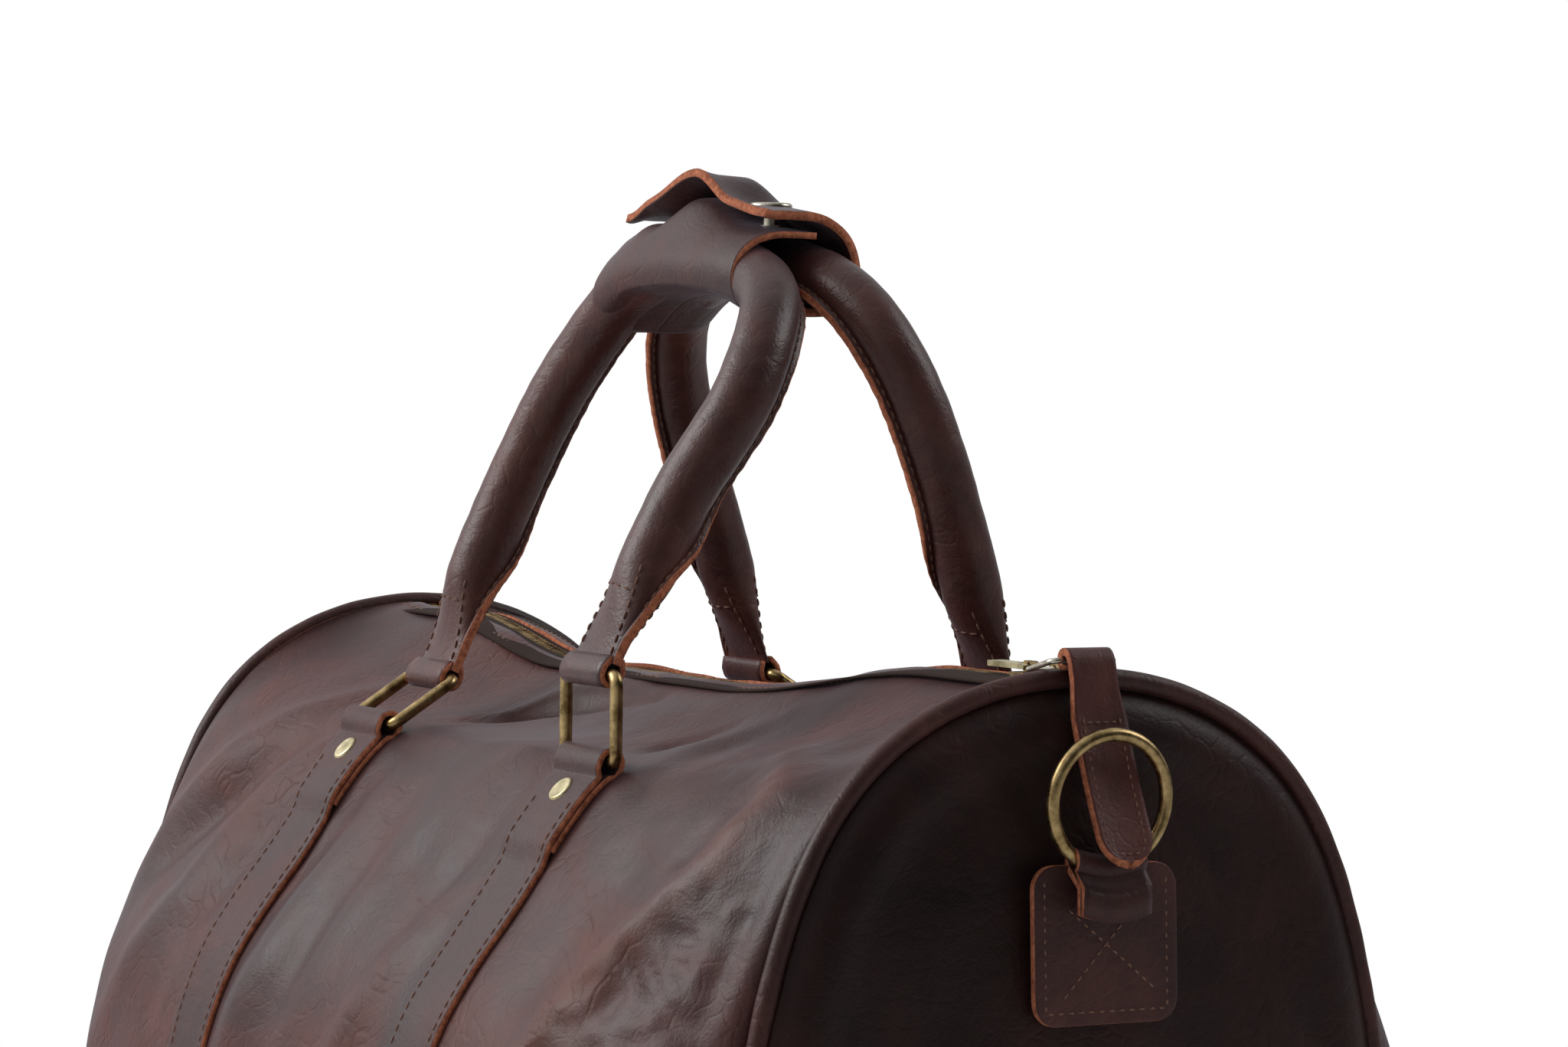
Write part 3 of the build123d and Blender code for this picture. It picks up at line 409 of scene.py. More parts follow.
def lay_sheet(name, grid, material, closed=False):
    """Makes a grid primitive with one corner for each point, and lays it over the points (in mm)."""
    columns, rows = grid.shape[0] - 1, grid.shape[1] - 1
    bpy.ops.object.select_all(action="DESELECT")
    bpy.ops.mesh.primitive_grid_add(x_subdivisions=columns, y_subdivisions=rows, size=2)
    piece = bpy.context.object
    piece.name = piece.data.name = name
    flat = np.zeros(len(piece.data.vertices) * 3)
    piece.data.vertices.foreach_get("co", flat)
    flat = flat.reshape(-1, 3)
    across = np.rint((flat[:, 0] + 1) / 2 * columns).astype(int)
    down = np.rint((flat[:, 1] + 1) / 2 * rows).astype(int)
    piece.data.vertices.foreach_set("co", (grid[across, down] * mm).ravel())
    piece.data.materials.append(material)
    bpy.ops.object.mode_set(mode="EDIT")
    bpy.ops.mesh.select_all(action="SELECT")
    if closed:
        bpy.ops.mesh.remove_doubles(threshold=0.00001)
        bpy.ops.mesh.normals_make_consistent(inside=False)
    bpy.ops.object.mode_set(mode="OBJECT")
    bpy.ops.object.shade_smooth()
    return piece


def thicken(piece, thickness, edge=raw_edge, outwards=False, bevel=0.0):
    """Gives a sheet its thickness, in millimetres, with raw cut edges."""
    piece.data.materials.append(edge)
    wall = piece.modifiers.new("wall", "SOLIDIFY")
    wall.thickness = thickness * mm
    wall.offset = 1.0 if outwards else -1.0
    wall.material_offset_rim = 1
    bpy.context.view_layer.objects.active = piece
    bpy.ops.object.modifier_apply(modifier="wall")
    if bevel:
        soft = piece.modifiers.new("soft_edge", "BEVEL")
        soft.width, soft.segments, soft.limit_method = bevel * mm, 2, "ANGLE"
        soft.angle_limit = radians(50)
        bpy.ops.object.modifier_apply(modifier="soft_edge")


def stations(count, end=None):
    """Places along the bag, closer together towards its ends."""
    return (panel_end if end is None else end) * np.sin(np.linspace(-pi / 2, pi / 2, count))


def share_of(y=None, z=None):
    """The share of the middle section's outline where it passes a half-width or a height."""
    outline, length = section(0.0)
    third = len(outline) // 3
    index = np.argmin(np.abs(outline[:third, 0] - y)) if y else third + np.argmin(np.abs(outline[third:, 1] - z))
    return index / (len(outline) - 1)


def add_wear(piece, amount):
    """Stores how worn each vertex is, from 0 to 1, for the leather to read."""
    spots = np.zeros(len(piece.data.vertices) * 3)
    piece.data.vertices.foreach_get("co", spots)
    layer = piece.data.attributes.new("wear", "FLOAT", "POINT")
    layer.data.foreach_set("value", amount(spots.reshape(-1, 3) / mm))


def front_wear(points):
    ridge, share = distance_to(points, worn_ridge)
    rubs = np.clip(0.5 + 0.9 * cloud(points, 40, 21), 0, 1)
    lower = np.exp(-((points[:, 0] - 170) / 60) ** 2 - ((points[:, 2] - 150) / 50) ** 2)
    return np.clip(0.75 * np.exp(-(ridge / 7) ** 2) * rubs + 0.3 * rubs * lower, 0, 1)


def back_wear(points):
    return np.clip(0.25 * cloud(points, 45, 23), 0, 1)


zip_share, seam_share = share_of(y=slot_half), share_of(z=bottom_seam)
body_stations = stations(236)
front_panel = lay_sheet("front_panel_leather",
                        skin(body_stations[::-1], -1, np.linspace(zip_share, seam_share, 132)), body_hide)
add_wear(front_panel, front_wear)
back_panel = lay_sheet("back_panel_leather",
                       skin(stations(190), 1, np.linspace(zip_share, seam_share, 110)), body_hide)
add_wear(back_panel, back_wear)
front_half = skin(stations(120), -1, np.linspace(seam_share, 1, 24))
back_half = skin(stations(120), 1, np.linspace(1, seam_share, 24))
bottom_panel = lay_sheet("bottom_panel_leather", np.concatenate([front_half, back_half[:, 1:]], 1)[::-1], shaded_end_hide)
for piece, node in ((front_panel, "front_panel"), (back_panel, "back_panel"), (bottom_panel, "bottom_panel")):
    thicken(piece, leather)
    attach(piece, "bag")
    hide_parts(node)

# ---------------------------------------------------------------- lining
# Plain woven cotton, hung inside the leather a few millimetres off it and open along the zip.
lining_cloth = rough_finish("lining_cotton", (0.06, 0.045, 0.035), (0.11, 0.085, 0.065), 1400.0, 0.0002, 0.9)
lining_shares = np.linspace(share_of(y=21), 1, 60)
lining_front = skin(stations(70, panel_end - 4), -1, lining_shares, -4.0)
lining_back = skin(stations(70, panel_end - 4), 1, lining_shares[::-1], -4.0)
lining = lay_sheet("lining_cloth", np.concatenate([lining_front, lining_back[:, 1:]], 1), lining_cloth)
thicken(lining, 0.6, lining_cloth)
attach(lining, "bag")
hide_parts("lining")

# ---------------------------------------------------------------- thread
# The zip, straps, handles, ring tabs and pull are sewn with waxed thread: short stitches that dip into the leather at
# each hole.
stitch_length, stitch_pitch, stitch_width = 3.1, 4.2, 0.85


def sew(name, line, outward, body, pitch=stitch_pitch, closed_up=stitch_length):
    """Stitches along a line of points (mm) on a surface whose normals are given with it."""
    line, outward = np.asarray(line, float), np.asarray(outward, float)
    along = np.concatenate([[0], np.cumsum(np.linalg.norm(np.diff(line, axis=0), axis=1))])
    count = max(1, int(along[-1] // pitch))
    bpy.ops.object.select_all(action="DESELECT")
    bpy.ops.mesh.primitive_uv_sphere_add(segments=6, ring_count=5, radius=0.5)
    row = bpy.context.object
    row.name = row.data.name = name
    corners = np.array([v.co for v in row.data.vertices])
    faces = [tuple(f.vertices) for f in row.data.polygons]
    spots, cells = [], []
    for i in range(count):
        start = (i + 0.5) * along[-1] / count
        middle, ahead, normal = (np.array([np.interp(start + d, along, values[:, k]) for k in range(3)])
                                 for values, d in ((line, 0), (line, 0.5), (outward, 0)))
        forward = (ahead - middle) / np.linalg.norm(ahead - middle)
        normal = normal - forward * (normal @ forward)
        normal /= np.linalg.norm(normal)
        aside = np.cross(normal, forward)
        turned = (corners[:, 2:] * closed_up * forward + corners[:, :1] * stitch_width * aside
                  + corners[:, 1:2] * stitch_width * normal)
        arch = (0.25 - corners[:, 2:] ** 2) * 0.6
        cells += [tuple(c + len(spots) * len(corners) for c in face) for face in faces]
        spots.append((middle + turned + normal * (arch - 0.05)) * mm)
    row.data.clear_geometry()
    row.data.from_pydata(np.concatenate(spots).tolist(), [], cells)
    row.data.materials.append(thread)
    bpy.ops.object.shade_smooth()
    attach(row, body)
    return row


# ---------------------------------------------------------------- end panels and piping
# Each end is one domed D of hide, sewn to the body over a round leather piping.
dome_reach, dome_height = 130.0, 8.0
half_length = panel_end + 3.7
dome_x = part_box("end_panel_right")[1][0] / mm
dome_radius = (dome_reach**2 + dome_height**2) / (2 * dome_height)
end_outline, end_length = section(float(panel_end))
end_loop = np.concatenate([end_outline * (-1, 1), end_outline[::-1][1:]])[::2]


def inset_loop(inset):
    """The end's outline moved inwards, as points (y, z)."""
    along = np.roll(end_loop, -1, 0) - np.roll(end_loop, 1, 0)
    along[0], along[-1] = (-1, 0), (-1, 0)
    along /= np.maximum(np.linalg.norm(along, axis=1, keepdims=True), 1e-9)
    return end_loop + np.stack([-along[:, 1], along[:, 0]], 1) * inset


end_border = inset_loop(2.6)
for side, word in ((1, "right"), (-1, "left")):
    rings = 60
    grid = np.zeros((len(end_border), rings, 3))
    for j in range(rings):
        spread = (j / (rings - 1)) ** 0.85
        flat = np.array([0, dome_z]) + (end_border - (0, dome_z)) * spread
        bulge = dome_x - dome_radius + np.sqrt(dome_radius**2 - flat[:, 0] ** 2 - (flat[:, 1] - dome_z) ** 2)
        edge_gap = np.linalg.norm(end_border - flat, axis=1)
        soft = 1.6 * cloud(np.column_stack([bulge, flat]), 60, 5 + side) + 0.5 * cloud(
            np.column_stack([bulge, flat * (1, 0.5)]), 18, 9)
        soft *= smooth((np.hypot(flat[:, 0], flat[:, 1] - 204) - 26) / 30)
        pillow = 2.5 * np.exp(-((edge_gap - 13) / 9) ** 2) - 3.0 * np.exp(-(edge_gap / 4) ** 2)
        grid[:, j] = np.column_stack([side * (bulge + soft * smooth(edge_gap / 20) + pillow), flat])
    panel = lay_sheet(f"end_panel_{word}_leather", grid if side > 0 else grid[::-1], shaded_end_hide, closed=True)
    if panel.data.polygons[len(panel.data.polygons) // 2].normal.x * side < 0:
        panel.data.flip_normals()
    thicken(panel, leather)
    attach(panel, "bag")
    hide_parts(f"end_panel_{word}")


def tube_grid(line, radius, around=14, start=None, flatten=None):
    """Points round a line of points (mm); radius is one number, or one for each point."""
    line = np.asarray(line, float)
    ahead = np.gradient(line, axis=0)
    ahead /= np.linalg.norm(ahead, axis=1, keepdims=True)
    radius = np.broadcast_to(radius, len(line))
    side_way = np.array(start if start is not None else (1.0, 0, 0))
    grid = np.zeros((around + 1, len(line), 3))
    angles = np.linspace(0, 2 * pi, around + 1)
    for i, (spot, forward) in enumerate(zip(line, ahead)):
        side_way = side_way - forward * (side_way @ forward)
        side_way /= np.linalg.norm(side_way)
        third = np.cross(forward, side_way)
        wide, thick = (1, 1) if flatten is None else flatten[i]
        grid[:, i] = spot + radius[i] * (np.cos(angles)[:, None] * side_way * wide
                                         + np.sin(angles)[:, None] * third * thick)
    return grid


piping_hide = leather_finish("piping_leather", (0.025, 0.007, 0.006), (0.05, 0.014, 0.011), (0.1, 0.028, 0.018),
                             crease=0.6, bloom=0.05)
for side, word in ((1, "right"), (-1, "left")):
    loop = np.column_stack([np.full(len(end_loop), side * half_length), end_loop])
    wobble = 3.35 + 0.22 * cloud(loop, 12, 31)
    piping = lay_sheet(f"piping_{word}_leather", tube_grid(loop, wobble, 16), piping_hide, closed=True)
    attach(piping, "bag")
    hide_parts(f"piping_{word}")
    seam = np.column_stack([np.full(len(end_loop), side * (half_length + 5.2)), inset_loop(8.5)])

# ---------------------------------------------------------------- zip
# A brass zip on woven tape, sewn under the raw edges of the front and back, sagging with them.
tape_cloth = rough_finish("zip_tape_cloth", (0.016, 0.008, 0.006), (0.04, 0.02, 0.014), 1800.0, 0.00015, 0.9)
tape_high, tape_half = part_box("zip_tape_back")[1][2] / mm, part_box("zip_tape_back")[1][1] / mm
zip_from, zip_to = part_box("zip_teeth_back")[0][0] / mm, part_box("zip_teeth_back")[1][0] / mm
teeth_low, teeth_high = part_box("zip_teeth_back")[0][2] / mm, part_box("zip_teeth_back")[1][2] / mm
chain_half, tooth_pitch = 3.1, 2.5
tape_x = np.linspace(zip_from - 2, zip_to + 1, 130)


def brass_finish(name, dark, light, roughness):
    """Plated metal with a thin uneven patina."""
    finish = bpy.data.materials.new(name)
    finish.use_nodes = True
    tree = finish.node_tree
    tree.nodes.clear()
    place = add_node(tree, "ShaderNodeTexCoord").outputs["Object"]
    patina = add_node(tree, "ShaderNodeTexNoise", Vector=place, Scale=160.0, Detail=6.0, Roughness=0.65)
    tones = add_node(tree, "ShaderNodeValToRGB", Fac=patina.outputs["Fac"])
    tones.color_ramp.elements[0].position, tones.color_ramp.elements[0].color = 0.35, colour(*dark)
    tones.color_ramp.elements[1].position, tones.color_ramp.elements[1].color = 0.62, colour(*light)
    rough = add_node(tree, "ShaderNodeMapRange", Value=patina.outputs["Fac"], From_Min=0.35, From_Max=0.7,
                     To_Min=roughness, To_Max=roughness + 0.16)
    scuffs = add_node(tree, "ShaderNodeBump", Height=patina.outputs["Fac"], Strength=0.15, Distance=0.0002)
    metal = add_node(tree, "ShaderNodeBsdfPrincipled", Base_Color=tones.outputs["Color"], Metallic=1.0,
                     Roughness=rough.outputs["Result"], Normal=scuffs.outputs["Normal"])
    add_node(tree, "ShaderNodeOutputMaterial", Surface=metal.outputs[0])
    return finish


antique_brass = brass_finish("antique_brass", (0.2, 0.13, 0.05), (0.55, 0.4, 0.19), 0.24)
zip_brass = brass_finish("zip_brass", (0.12, 0.075, 0.035), (0.42, 0.3, 0.15), 0.32)
pale_steel = brass_finish("pale_plated_steel", (0.42, 0.38, 0.3), (0.72, 0.68, 0.58), 0.22)
pale_brass = brass_finish("pale_brass", (0.4, 0.34, 0.18), (0.68, 0.6, 0.38), 0.3)

for side, word in ((-1, "front"), (1, "back")):
    ys = side * np.linspace(chain_half - 0.3, tape_half - 1, 8)
    grid = np.array([[(x, y, tape_high - sag(x) * (1 - (y / 88) ** 2) - 0.035 * max(0, abs(y) - 7) ** 1.6)
                      for y in ys] for x in tape_x])
    tape = lay_sheet(f"zip_tape_{word}_cloth", grid, tape_cloth)
    thicken(tape, 0.7, tape_cloth)
    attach(tape, "bag")
    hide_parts(f"zip_tape_{word}")

    bpy.ops.object.select_all(action="DESELECT")
    bpy.ops.mesh.primitive_cube_add(size=1)
    teeth = bpy.context.object
    teeth.name = teeth.data.name = f"zip_teeth_{word}_brass"
    bpy.ops.object.mode_set(mode="EDIT")
    bpy.ops.mesh.bevel(offset=0.16, segments=1)
    bpy.ops.object.mode_set(mode="OBJECT")
    corners = np.array([v.co for v in teeth.data.vertices])
    faces = [tuple(f.vertices) for f in teeth.data.polygons]
    count = int((zip_to - zip_from) // tooth_pitch)
    spots, cells = [], []
    for i in range(count):
        x = zip_from + (i + (0.25 if side < 0 else 0.75)) * tooth_pitch
        tooth = corners * (1.15, chain_half + 0.5, teeth_high - teeth_low)
        tooth[:, 0] *= np.where(tooth[:, 1] * side < 0, 0.72, 1.0)
        cells += [tuple(c + len(spots) * len(corners) for c in face) for face in faces]
        spots.append((tooth + (x, side * (chain_half / 2 - 0.05), (teeth_low + teeth_high) / 2 - sag(x))) * mm)
    teeth.data.clear_geometry()
    teeth.data.from_pydata(np.concatenate(spots).tolist(), [], cells)
    teeth.data.materials.append(zip_brass)
    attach(teeth, "bag")
    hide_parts(f"zip_teeth_{word}")

    row_share = share_of(y=slot_half + 5.5)
    row_x = stations(260, panel_end - 4)
    face = skin(row_x, side, [row_share - 0.002, row_share, row_share + 0.002])
    sew(f"zip_stitches_{word}", face[:, 1], outward_normals(face)[:, 1], "bag")

# ---------------------------------------------------------------- straps
# One band of doubled hide each side of the middle runs up the front, round its rectangular ring and
# back behind itself, and the same at the back. Both edges are stitched and left raw.
wire_half, loop_gap = 2.25, 0.4
eye_middle = wire_half + loop_gap + leather / 2
fold_length = 36.0
strap_columns = np.array([-1.0, -0.93, -0.66, -0.33, 0.0, 0.33, 0.66, 0.93, 1.0])


def strap_run(x, side):
    """Middle line of the band in front or behind, at x: ring loop first, then down to the base."""
    face = skin([x - 2, x, x + 2], side, np.linspace(0.1, 1, 420))
    outward = outward_normals(face)[1]
    face = face[1]
    ring = np.array([x, side * ring_y, ring_z])
    start = int(np.argmin(np.linalg.norm(face - ring, axis=1)))
    along = np.concatenate([[0], np.cumsum(np.linalg.norm(np.diff(face, axis=0), axis=1))])
    down = along - along[start]
    under = (down > 3) & (down < fold_length)
    over = (down > 5.0)
    top_lift = np.where(down < fold_length - 4, 3.6, 1.25 + 2.35 * smooth((fold_length + 7 - down) / 11))
    inner = (face + outward * 1.25)[under][::-1]
    outer = (face + outward * top_lift[:, None])[over]
    begin = inner[-1] - ring
    end = outer[0] - ring
    first, last = atan2(begin[2], begin[1]), atan2(end[2], end[1])
    sweep_way = -side
    while (last - first) * sweep_way < pi * 0.9:
        last += sweep_way * 2 * pi
    turn_angles = np.linspace(first, last, 26)[1:-1]
    radii = np.linspace(hypot(begin[1], begin[2]), hypot(end[1], end[2]), 26)[1:-1]
    radii = np.minimum(radii, eye_middle + 0.5 + 2.5 * np.abs(np.linspace(-1, 1, 24)) ** 6)
    loop = ring + np.stack([0 * turn_angles, np.cos(turn_angles) * radii, np.sin(turn_angles) * radii], 1)
    return np.concatenate([inner, loop, outer])


def resampled(line, count):
    along = np.concatenate([[0], np.cumsum(np.linalg.norm(np.diff(line, axis=0), axis=1))])
    even = np.linspace(0, along[-1], count)
    return np.stack([np.interp(even, along, line[:, k]) for k in range(3)], 1)


def sheet_normals(grid, like):
    """The normals of a grid, turned the same way as a reference direction at its middle."""
    normal = np.cross(np.gradient(grid, axis=0), np.gradient(grid, axis=1))
    normal /= np.maximum(np.linalg.norm(normal, axis=2, keepdims=True), 1e-9)
    middle = normal[normal.shape[0] // 2, int(normal.shape[1] * 0.6)]
    return normal if middle @ np.array(like, float) > 0 else -normal


for centre, word in ((strap_x, "right"), (-strap_x, "left")):
    columns = []
    for across in strap_columns:
        x = centre + across * strap_width / 2
        runs = [resampled(strap_run(x, side), 210) for side in (-1, 1)]
        joined = np.concatenate([runs[0], runs[1][::-1][1:]])
        columns.append(joined)
    grid = np.array(columns)
    strap = lay_sheet(f"strap_{word}_leather", grid, strap_hide)
    if strap.data.polygons[len(strap.data.polygons) // 4].normal.y > 0:
        strap.data.flip_normals()
    strap.data.materials.append(raw_edge)
    wall = strap.modifiers.new("wall", "SOLIDIFY")
    wall.thickness, wall.offset, wall.material_offset_rim = leather * mm, 0.0, 1
    bpy.ops.object.modifier_apply(modifier="wall")
    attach(strap, "bag")
    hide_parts(f"strap_{word}")
    for side, end in ((-1, "front"), (1, "back")):
        for edge in (-1, 1):
            x = centre + edge * (strap_width / 2 - 3.2)
            run = resampled(strap_run(x, side), 700)
            beside = resampled(strap_run(x + 1, side), 700)
            outward = np.cross(np.gradient(run, axis=0), beside - run)
            outward /= np.linalg.norm(outward, axis=1, keepdims=True)
            if (outward[500] * (0, side, 0)).sum() < 0:
                outward = -outward
            shown = slice(int(700 * (fold_length + 24) / 380), 640)
            sew(f"strap_{word}_{end}_stitches_{'outer' if edge * centre > 0 else 'inner'}",
                (run + outward * leather / 2)[shown], outward[shown], "bag")

for node, finish in (("strap_rivets", pale_brass), ("rivet_burrs", pale_steel), ("feet", antique_brass),
                     ("foot_washers", pale_steel), ("slider_a", zip_brass), ("slider_a_pull", pale_brass),
                     ("slider_b", zip_brass), ("slider_b_yoke", pale_steel), ("zip_stops", zip_brass),
                     ("snap_cap", pale_steel), ("snap_stud", pale_steel), ("o_ring_right", antique_brass),
                     ("o_ring_left", antique_brass), ("ring_front_right", antique_brass),
                     ("ring_front_left", antique_brass), ("ring_back_right", antique_brass),
                     ("ring_back_left", antique_brass)):
    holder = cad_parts[node]
    holder.data.materials.clear()
    holder.data.materials.append(finish)

# ---------------------------------------------------------------- rolled handles
# Each handle is hide rolled round a cord, its raw edges sewn together in a fin on the inner side, and
# pressed flat where it loops round the upper bars of its two rings.
roll_radius, flat_half, taper = 11.0, 2.3, 40.0
fin_height, fin_half = 3.0, 1.7
handle_paths = {
    "front": ((92, -94.7, 280.2), (92.5, -91, 290), (98, -82, 306), (97, -72, 324), (95, -61, 344),
              (100, -50, 362), (101, -40, 378), (93, -28, 398), (76, -17, 413), (50, -13, 421.5), (8, -13, 428.0),
              (-24, -13, 421.5), (-44, -14, 413.5), (-60, -19, 398), (-72, -26, 380), (-80, -33, 360),
              (-85, -42, 337), (-88, -52, 312), (-90, -60, 288), (-92, -69.5, 266.5)),
    "back": ((92, 69.3, 266.1), (92, 65, 282), (96, 57, 305), (99, 47, 332), (100, 37, 358), (97, 28, 382),
             (88, 19, 402), (70, 14, 416), (44, 12.5, 422), (8, 12.5, 427.5), (-28, 12.5, 421), (-50, 15, 412),
             (-66, 20, 398), (-76, 27, 378), (-83, 37, 354), (-87, 48, 328), (-90, 58, 300), (-92, 64, 282),
             (-92, 69.3, 266.1)),
}


def rounded_line(corners, passes=4):
    """Cuts the corners off a line of points until it is smooth; its ends stay."""
    line = np.array(corners, float)
    for _ in range(passes):
        cuts = np.stack([line[:-1] * 0.75 + line[1:] * 0.25, line[:-1] * 0.25 + line[1:] * 0.75], 1).reshape(-1, 3)
        line = np.concatenate([line[:1], cuts, line[-1:]])
    return line


def unit(vectors):
    return vectors / np.maximum(np.linalg.norm(vectors, axis=-1, keepdims=True), 1e-9)


def frames_along(line, begin, end):
    """Two directions square to a line at each point; the first starts as begin and ends as end."""
    ahead = unit(np.gradient(line, axis=0))
    first, current = [], np.array(begin, float)
    for forward in ahead:
        current = unit(current - forward * (current @ forward))
        first.append(current)
    first = np.array(first)
    wanted = unit(np.array(end, float) - ahead[-1] * (np.array(end, float) @ ahead[-1]))
    off = atan2(np.cross(first[-1], wanted) @ ahead[-1], first[-1] @ wanted)
    twist = (np.linspace(0, 1, len(line)) * off)[:, None]
    second = np.cross(ahead, first)
    return first * np.cos(twist) + second * np.sin(twist), second * np.cos(twist) - first * np.sin(twist), ahead


def join_pieces(name, parts):
    """Joins meshes into the first of them, keeping its materials' order."""
    bpy.ops.object.select_all(action="DESELECT")
    for part in parts:
        part.select_set(True)
    bpy.context.view_layer.objects.active = parts[0]
    bpy.ops.object.join()
    parts[0].name = parts[0].data.name = name
    return parts[0]


cord_core = rough_finish("handle_cord", (0.05, 0.04, 0.03), (0.1, 0.085, 0.07), 500.0, 0.0005, 0.9)
for word, inner in (("front", 1), ("back", -1)):
    line = resampled(rounded_line(handle_paths[word]), 300)
    along = np.concatenate([[0], np.cumsum(np.linalg.norm(np.diff(line, axis=0), axis=1))])
    from_end = np.minimum(along, along[-1] - along)
    first, second, ahead = frames_along(line, (1, 0, 0), (-1, 0, 0))
    fullness = smooth((from_end - 5) / taper)
    wide = strap_width / 2 - 0.5 + (roll_radius - strap_width / 2 + 0.5) * fullness
    thick = flat_half + (roll_radius - flat_half) * fullness
    body = f"handle_{word}"

    around = 40
    angles = np.linspace(0, 2 * pi, around + 1)
    grid = np.zeros((around + 1, len(line), 3))
    for i in range(len(line)):
        profile = (np.cos(angles)[:, None] * first[i] * wide[i] + np.sin(angles)[:, None] * second[i] * thick[i])
        grid[:, i] = line[i] + profile
    flat_grid = grid.reshape(-1, 3)
    swell = 0.35 * cloud(flat_grid, 30, 13) + 0.18 * cloud(flat_grid * (1, 1, 1.6), 9, 17)
    outward = unit(grid - line[None])
    grid = grid + outward * swell.reshape(grid.shape[:2])[..., None] * fullness[None, :, None]
    grid[-1] = grid[0]
    inside = (from_end > 4.5)
    roll = lay_sheet(f"handle_{word}_roll", grid[:, inside], handle_hide, closed=True)

    sideways = np.array([inner * 1.0, 0, 0])
    swing = smooth((from_end - 14) / 70)[:, None]
    wanted = unit(sideways * (1 - swing) + np.array([0.0, inner, -0.25]) * swing)
    fin_out = unit(wanted - ahead * (wanted * ahead).sum(1, keepdims=True))
    fin_side = np.cross(ahead, fin_out)
    across, over = (fin_out * first).sum(1), (fin_out * second).sum(1)
    reach = 1 / np.sqrt((across / wide) ** 2 + (over / thick) ** 2)
    height = 0.5 + (fin_height - 0.5) * smooth((from_end - 10) / 50)
    ragged = 0.35 * cloud(line, 3.0, 19)
    corners = []
    for out_share, side_share in ((-1.6, -1), (0.82, -1), (1.0, -0.7), (1.0, 0.7), (0.82, 1), (-1.6, 1)):
        out = reach + np.where(out_share > 0, height * out_share + ragged, out_share)
        corners.append(line + fin_out * out[:, None] + fin_side * (fin_half * side_share))
    corners.append(corners[0])
    fin = lay_sheet(f"handle_{word}_fin", np.array(corners)[:, inside], handle_hide, closed=True)
    fin.data.materials.append(raw_edge)
    rows = inside.sum() - 1
    spots = np.array([line[inside], fin_out[inside]])
    for polygon in fin.data.polygons:
        centre = np.array(polygon.center) / mm
        nearest = int(np.argmin(np.linalg.norm(spots[0] - centre, axis=1)))
        if abs(np.array(polygon.normal) @ spots[1][nearest]) > 0.55:
            polygon.material_index = 1

    parts = [roll, fin]
    for index, bar in ((0, line[0]), (-1, line[-1])):
        forward = ahead[0] if index == 0 else -ahead[-1]
        normal = second[0] if index == 0 else second[-1]
        turns = np.linspace(radians(-14), radians(194), 22)
        loop = [bar + eye_middle * (np.cos(t) * normal - np.sin(t) * forward) for t in turns]
        begin = [bar + eye_middle * 1.0 * normal * s + forward * d for s, d in ((1, 6.0), (1, 4.0), (1, 2.0))]
        finish = [bar - eye_middle * normal * s + forward * d for s, d in ((1, 2.0), (1, 4.0), (1, 6.0))]
        begin[0], finish[-1] = begin[0] - normal * 2.0, finish[-1] + normal * 2.0
        begin[1], finish[-2] = begin[1] - normal * 0.9, finish[-2] + normal * 0.9
        strip = np.array(begin + loop[1:-1] + finish)
        widths = np.linspace(-1, 1, 9) * (strap_width / 2 - 0.8)
        band = np.array([strip + np.array([w, 0, 0]) for w in widths])
        eye = lay_sheet(f"handle_{word}_eye", band, handle_hide)
        eye.data.materials.append(raw_edge)
        wall = eye.modifiers.new("wall", "SOLIDIFY")
        wall.thickness, wall.offset, wall.material_offset_rim = leather * mm, 0.0, 1
        bpy.ops.object.modifier_apply(modifier="wall")
        parts.append(eye)
    roll = join_pieces(f"handle_{word}_leather", parts)
    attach(roll, body)
    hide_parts(body)

    core = lay_sheet(f"handle_{word}_cord", (line[None] + (outward * 8.4)[::4])[:, from_end > 46], cord_core, closed=True)
    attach(core, body)
    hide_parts(f"handle_core_{word}")

    for flank in (-1, 1):
        shown = (from_end > 26) & (np.abs(line[:, 0]) > 40)
        for half_word, half in (("right", line[:, 0] > 0), ("left", line[:, 0] < 0)):
            keep = shown & half
            seam = line + fin_out * (reach + 0.3 * height)[:, None] + fin_side * (flank * (fin_half + 0.02))
            sew(f"handle_{word}_{half_word}_fin_stitches_{'a' if flank > 0 else 'b'}", seam[keep],
                (fin_side * flank)[keep], body)
    for half_word, sign in (("right", 1), ("left", -1)):
        for face in (-1, 1):
            spot = int(np.argmin(np.abs(np.where(line[:, 0] * sign > 0, from_end, 999) - 30)))
            wide_here = np.linspace(-0.72, 0.72, 24)
            lift = np.sqrt(1 - wide_here**2) * thick[spot] + 0.1
            seam = (line[spot] + wide_here[:, None] * wide[spot] * first[spot]
                    + face * lift[:, None] * second[spot])
            sew(f"handle_{word}_{half_word}_cross_stitches_{'a' if face > 0 else 'b'}", seam,
                unit(seam - line[spot]), body)
            rows = [i for i in range(len(line)) if line[i, 0] * sign > 0 and 7 < from_end[i] < 40]
            for edge in (-1, 1):
                part = np.array([line[i] + first[i] * edge * wide[i] * 0.78 + second[i] * face * (thick[i] * 0.63 + 0.25)
                                 for i in rows])
                out = np.array([second[i] * face + 0.4 * edge * first[i] for i in rows])
                name = f"handle_{word}_{half_word}_edge_stitches_{'a' if face > 0 else 'b'}{'a' if edge > 0 else 'b'}"
                sew(name, part, unit(out), body)

